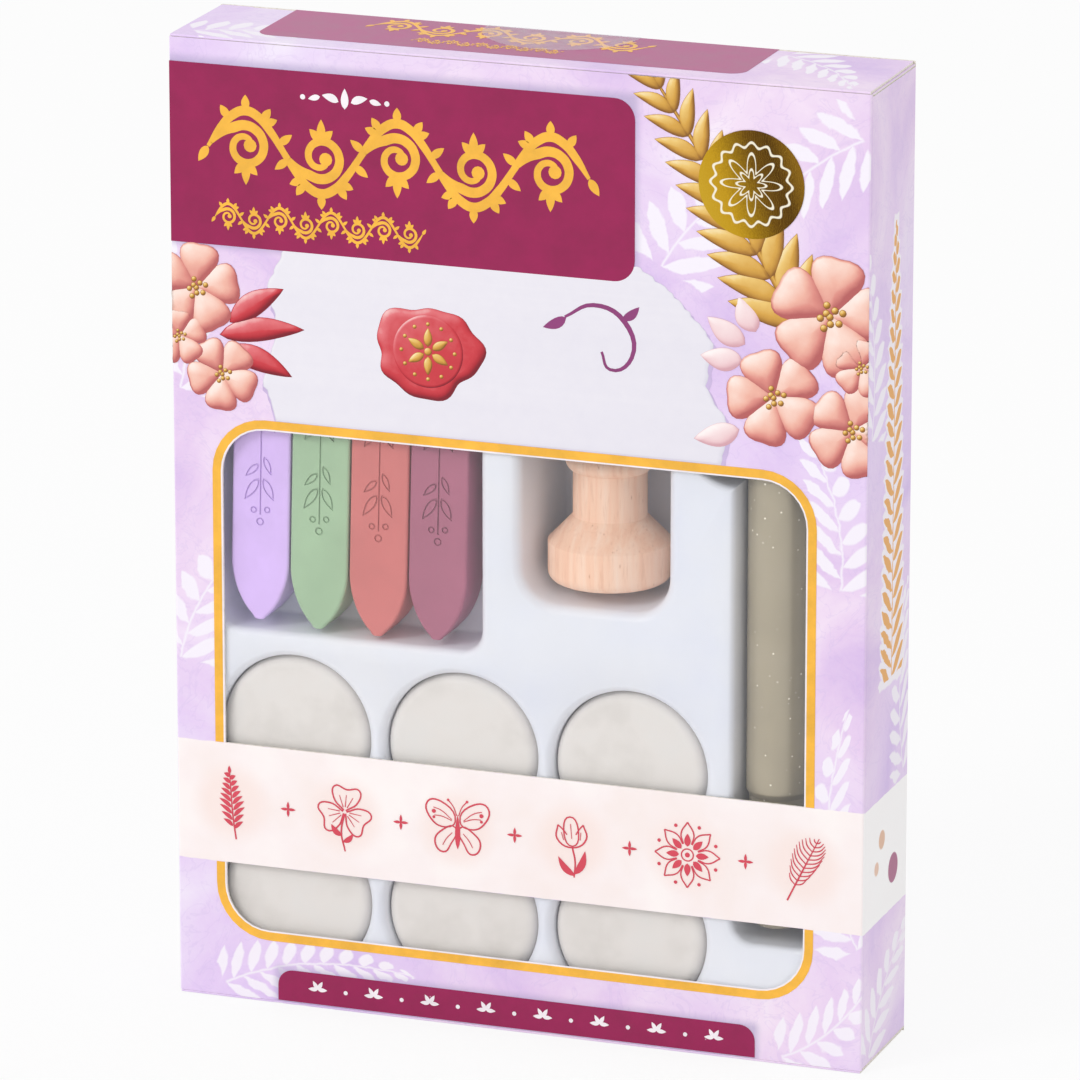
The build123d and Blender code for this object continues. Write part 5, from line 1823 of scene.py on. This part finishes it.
class WAXBOX_OT_marker(bpy.types.Operator):
    """Finishes the marker: metallic lacquer outside, white plastic and felt inside"""

    bl_idname = "waxbox.marker"
    bl_label = "Marker"

    def execute(self, context):
        sizes = context.scene.waxbox_contents
        # bronze lacquer with fine glitter
        made, tree = new_material("bronze_lacquer")
        place = add(tree, "ShaderNodeTexCoord").outputs["Object"]
        haze = add(tree, "ShaderNodeTexNoise", {"Vector": place, "Scale": 1000 / 7, "Detail": 4.0})
        base = add(
            tree,
            "ShaderNodeValToRGB",
            {"Fac": haze},
            stops=[(0.3, "#ABA089"), (0.5, sizes.bronze), (0.7, "#B3A891")],
        )
        flakes = add(tree, "ShaderNodeTexVoronoi", {"Vector": place, "Scale": 1000 / 1.5, "Randomness": 1.0})
        pick = add(tree, "ShaderNodeSeparateColor", {"Color": flakes.outputs["Color"]})
        bright = add(
            tree, "ShaderNodeMapRange", {"Value": pick.outputs["Red"], "From Min": 0.2, "From Max": 0.6}
        )
        core = add(
            tree,
            "ShaderNodeMapRange",
            {"Value": flakes.outputs["Distance"], "From Min": 0.08, "From Max": 0.17, "To Min": 1.0, "To Max": 0.0},
        )
        glint = add(tree, "ShaderNodeMath", {0: bright, 1: core}, operation="MULTIPLY")
        weak = add(tree, "ShaderNodeMath", {0: glint, 1: 0.9}, operation="MULTIPLY")
        colour = add(tree, "ShaderNodeMix", {0: weak, 6: base, 7: linear("#FFFBEA")}, data_type="RGBA")
        bump = add(tree, "ShaderNodeBump", {"Strength": 0.15, "Distance": mm(0.03), "Height": pick.outputs["Green"]})
        rough = add(
            tree, "ShaderNodeMapRange", {"Value": haze, "From Min": 0.3, "From Max": 0.7, "To Min": 0.36, "To Max": 0.46}
        )
        shader = add(
            tree,
            "ShaderNodeBsdfPrincipled",
            {"Base Color": colour, "Metallic": 0.3, "Roughness": rough, "Normal": bump, "Coat Weight": 0.3},
        )
        add(tree, "ShaderNodeOutputMaterial", {"Surface": shader})
        cover(made, "marker_barrel", "marker_cap", "marker_tail_cap")

        # white polypropylene, and pressed felt soaked with gold ink
        made, tree = new_material("white_polypropylene")
        place = add(tree, "ShaderNodeTexCoord").outputs["Object"]
        cloud = add(tree, "ShaderNodeTexNoise", {"Vector": place, "Scale": 1000 / 5, "Detail": 4.0})
        colour = add(tree, "ShaderNodeValToRGB", {"Fac": cloud}, stops=[(0.3, "#DEDDD8"), (0.7, "#F0EFEB")])
        bump = add(tree, "ShaderNodeBump", {"Strength": 0.1, "Distance": mm(0.05), "Height": cloud})
        shader = add(tree, "ShaderNodeBsdfPrincipled", {"Base Color": colour, "Roughness": 0.42, "Normal": bump})
        add(tree, "ShaderNodeOutputMaterial", {"Surface": shader})
        cover(made, "marker_front_section", "marker_reservoir")

        made, tree = new_material("gold_inked_felt")
        place = add(tree, "ShaderNodeTexCoord").outputs["Object"]
        hairs = add(tree, "ShaderNodeTexNoise", {"Vector": place, "Scale": 1000 / 0.5, "Detail": 5.0})
        colour = add(tree, "ShaderNodeValToRGB", {"Fac": hairs}, stops=[(0.3, "#9C6B1F"), (0.7, "#D9A648")])
        bump = add(tree, "ShaderNodeBump", {"Strength": 0.5, "Distance": mm(0.1), "Height": hairs})
        shader = add(
            tree,
            "ShaderNodeBsdfPrincipled",
            {"Base Color": colour, "Metallic": 0.4, "Roughness": 0.55, "Normal": bump},
        )
        add(tree, "ShaderNodeOutputMaterial", {"Surface": shader})
        cover(made, "marker_nib")
        return {"FINISHED"}


class WAXBOX_OT_leaflet(bpy.types.Operator):
    """Finishes the folded leaflet behind the tray"""

    bl_idname = "waxbox.leaflet"
    bl_label = "Leaflet"

    def execute(self, context):
        # uncoated paper with a pale tinted panel and painted shade along its fold
        made, tree = new_material("leaflet_paper")
        place = add(tree, "ShaderNodeTexCoord").outputs["Object"]
        at = add(tree, "ShaderNodeSeparateXYZ", {"Vector": place})
        fibres = add(tree, "ShaderNodeTexNoise", {"Vector": place, "Scale": 1000 / 1.2, "Detail": 5.0, "Roughness": 0.7})
        colour = add(tree, "ShaderNodeValToRGB", {"Fac": fibres}, stops=[(0.3, "#EFEDE8"), (0.7, "#FBFAF7")])
        up = add(tree, "ShaderNodeMath", {0: at.outputs["Z"], 1: mm(90)}, operation="SUBTRACT")
        apart = add(tree, "ShaderNodeMath", {0: up}, operation="ABSOLUTE")
        # painted shade: a darker line where the sheet is folded
        fold = add(tree, "ShaderNodeMapRange", {"Value": apart, "From Min": 0.0, "From Max": mm(0.8), "To Min": 0.5, "To Max": 0.0})
        folded = add(tree, "ShaderNodeMix", {0: fold, 6: colour, 7: linear("#CFCAC4")}, data_type="RGBA")
        head = add(tree, "ShaderNodeMapRange", {"Value": at.outputs["Z"], "From Min": mm(146), "From Max": mm(146.2)})
        tinted = add(tree, "ShaderNodeMix", {0: head, 6: folded, 7: linear("#D9C2E6")}, data_type="RGBA")
        bump = add(tree, "ShaderNodeBump", {"Strength": 0.25, "Distance": mm(0.05), "Height": fibres})
        shader = add(tree, "ShaderNodeBsdfPrincipled", {"Base Color": tinted, "Roughness": 0.85, "Normal": bump})
        add(tree, "ShaderNodeOutputMaterial", {"Surface": shader})
        cover(made, "instruction_leaflet")
        return {"FINISHED"}


class WAXBOX_PT_steps(bpy.types.Panel):
    """The steps that build the wax seal set box"""

    bl_label = "Wax seal set box"
    bl_space_type = "VIEW_3D"
    bl_region_type = "UI"
    bl_category = "Wax seal set"

    def draw(self, context):
        for step in STEPS:
            self.layout.operator(step.bl_idname)


STEPS = (
    WAXBOX_OT_studio,
    WAXBOX_OT_carton,
    WAXBOX_OT_panels,
    WAXBOX_OT_motifs,
    WAXBOX_OT_picture,
    WAXBOX_OT_film,
    WAXBOX_OT_tray,
    WAXBOX_OT_sticks,
    WAXBOX_OT_handle,
    WAXBOX_OT_heads,
    WAXBOX_OT_marker,
    WAXBOX_OT_leaflet,
)
GROUPS = (
    ("waxbox_print", WaxBoxPrint),
    ("waxbox_contents", WaxBoxContents),
    ("waxbox_studio", WaxBoxStudio),
)


def register():
    for name, group in GROUPS:
        bpy.utils.register_class(group)
        setattr(bpy.types.Scene, name, bpy.props.PointerProperty(type=group))
    for step in (*STEPS, WAXBOX_PT_steps):
        bpy.utils.register_class(step)


def unregister():
    for step in (WAXBOX_PT_steps, *reversed(STEPS)):
        bpy.utils.unregister_class(step)
    for name, group in reversed(GROUPS):
        delattr(bpy.types.Scene, name)
        bpy.utils.unregister_class(group)


def main():
    register()
    for step in STEPS:
        section, name = step.bl_idname.split(".")
        getattr(getattr(bpy.ops, section), name)()


if __name__ == "__main__":
    main()
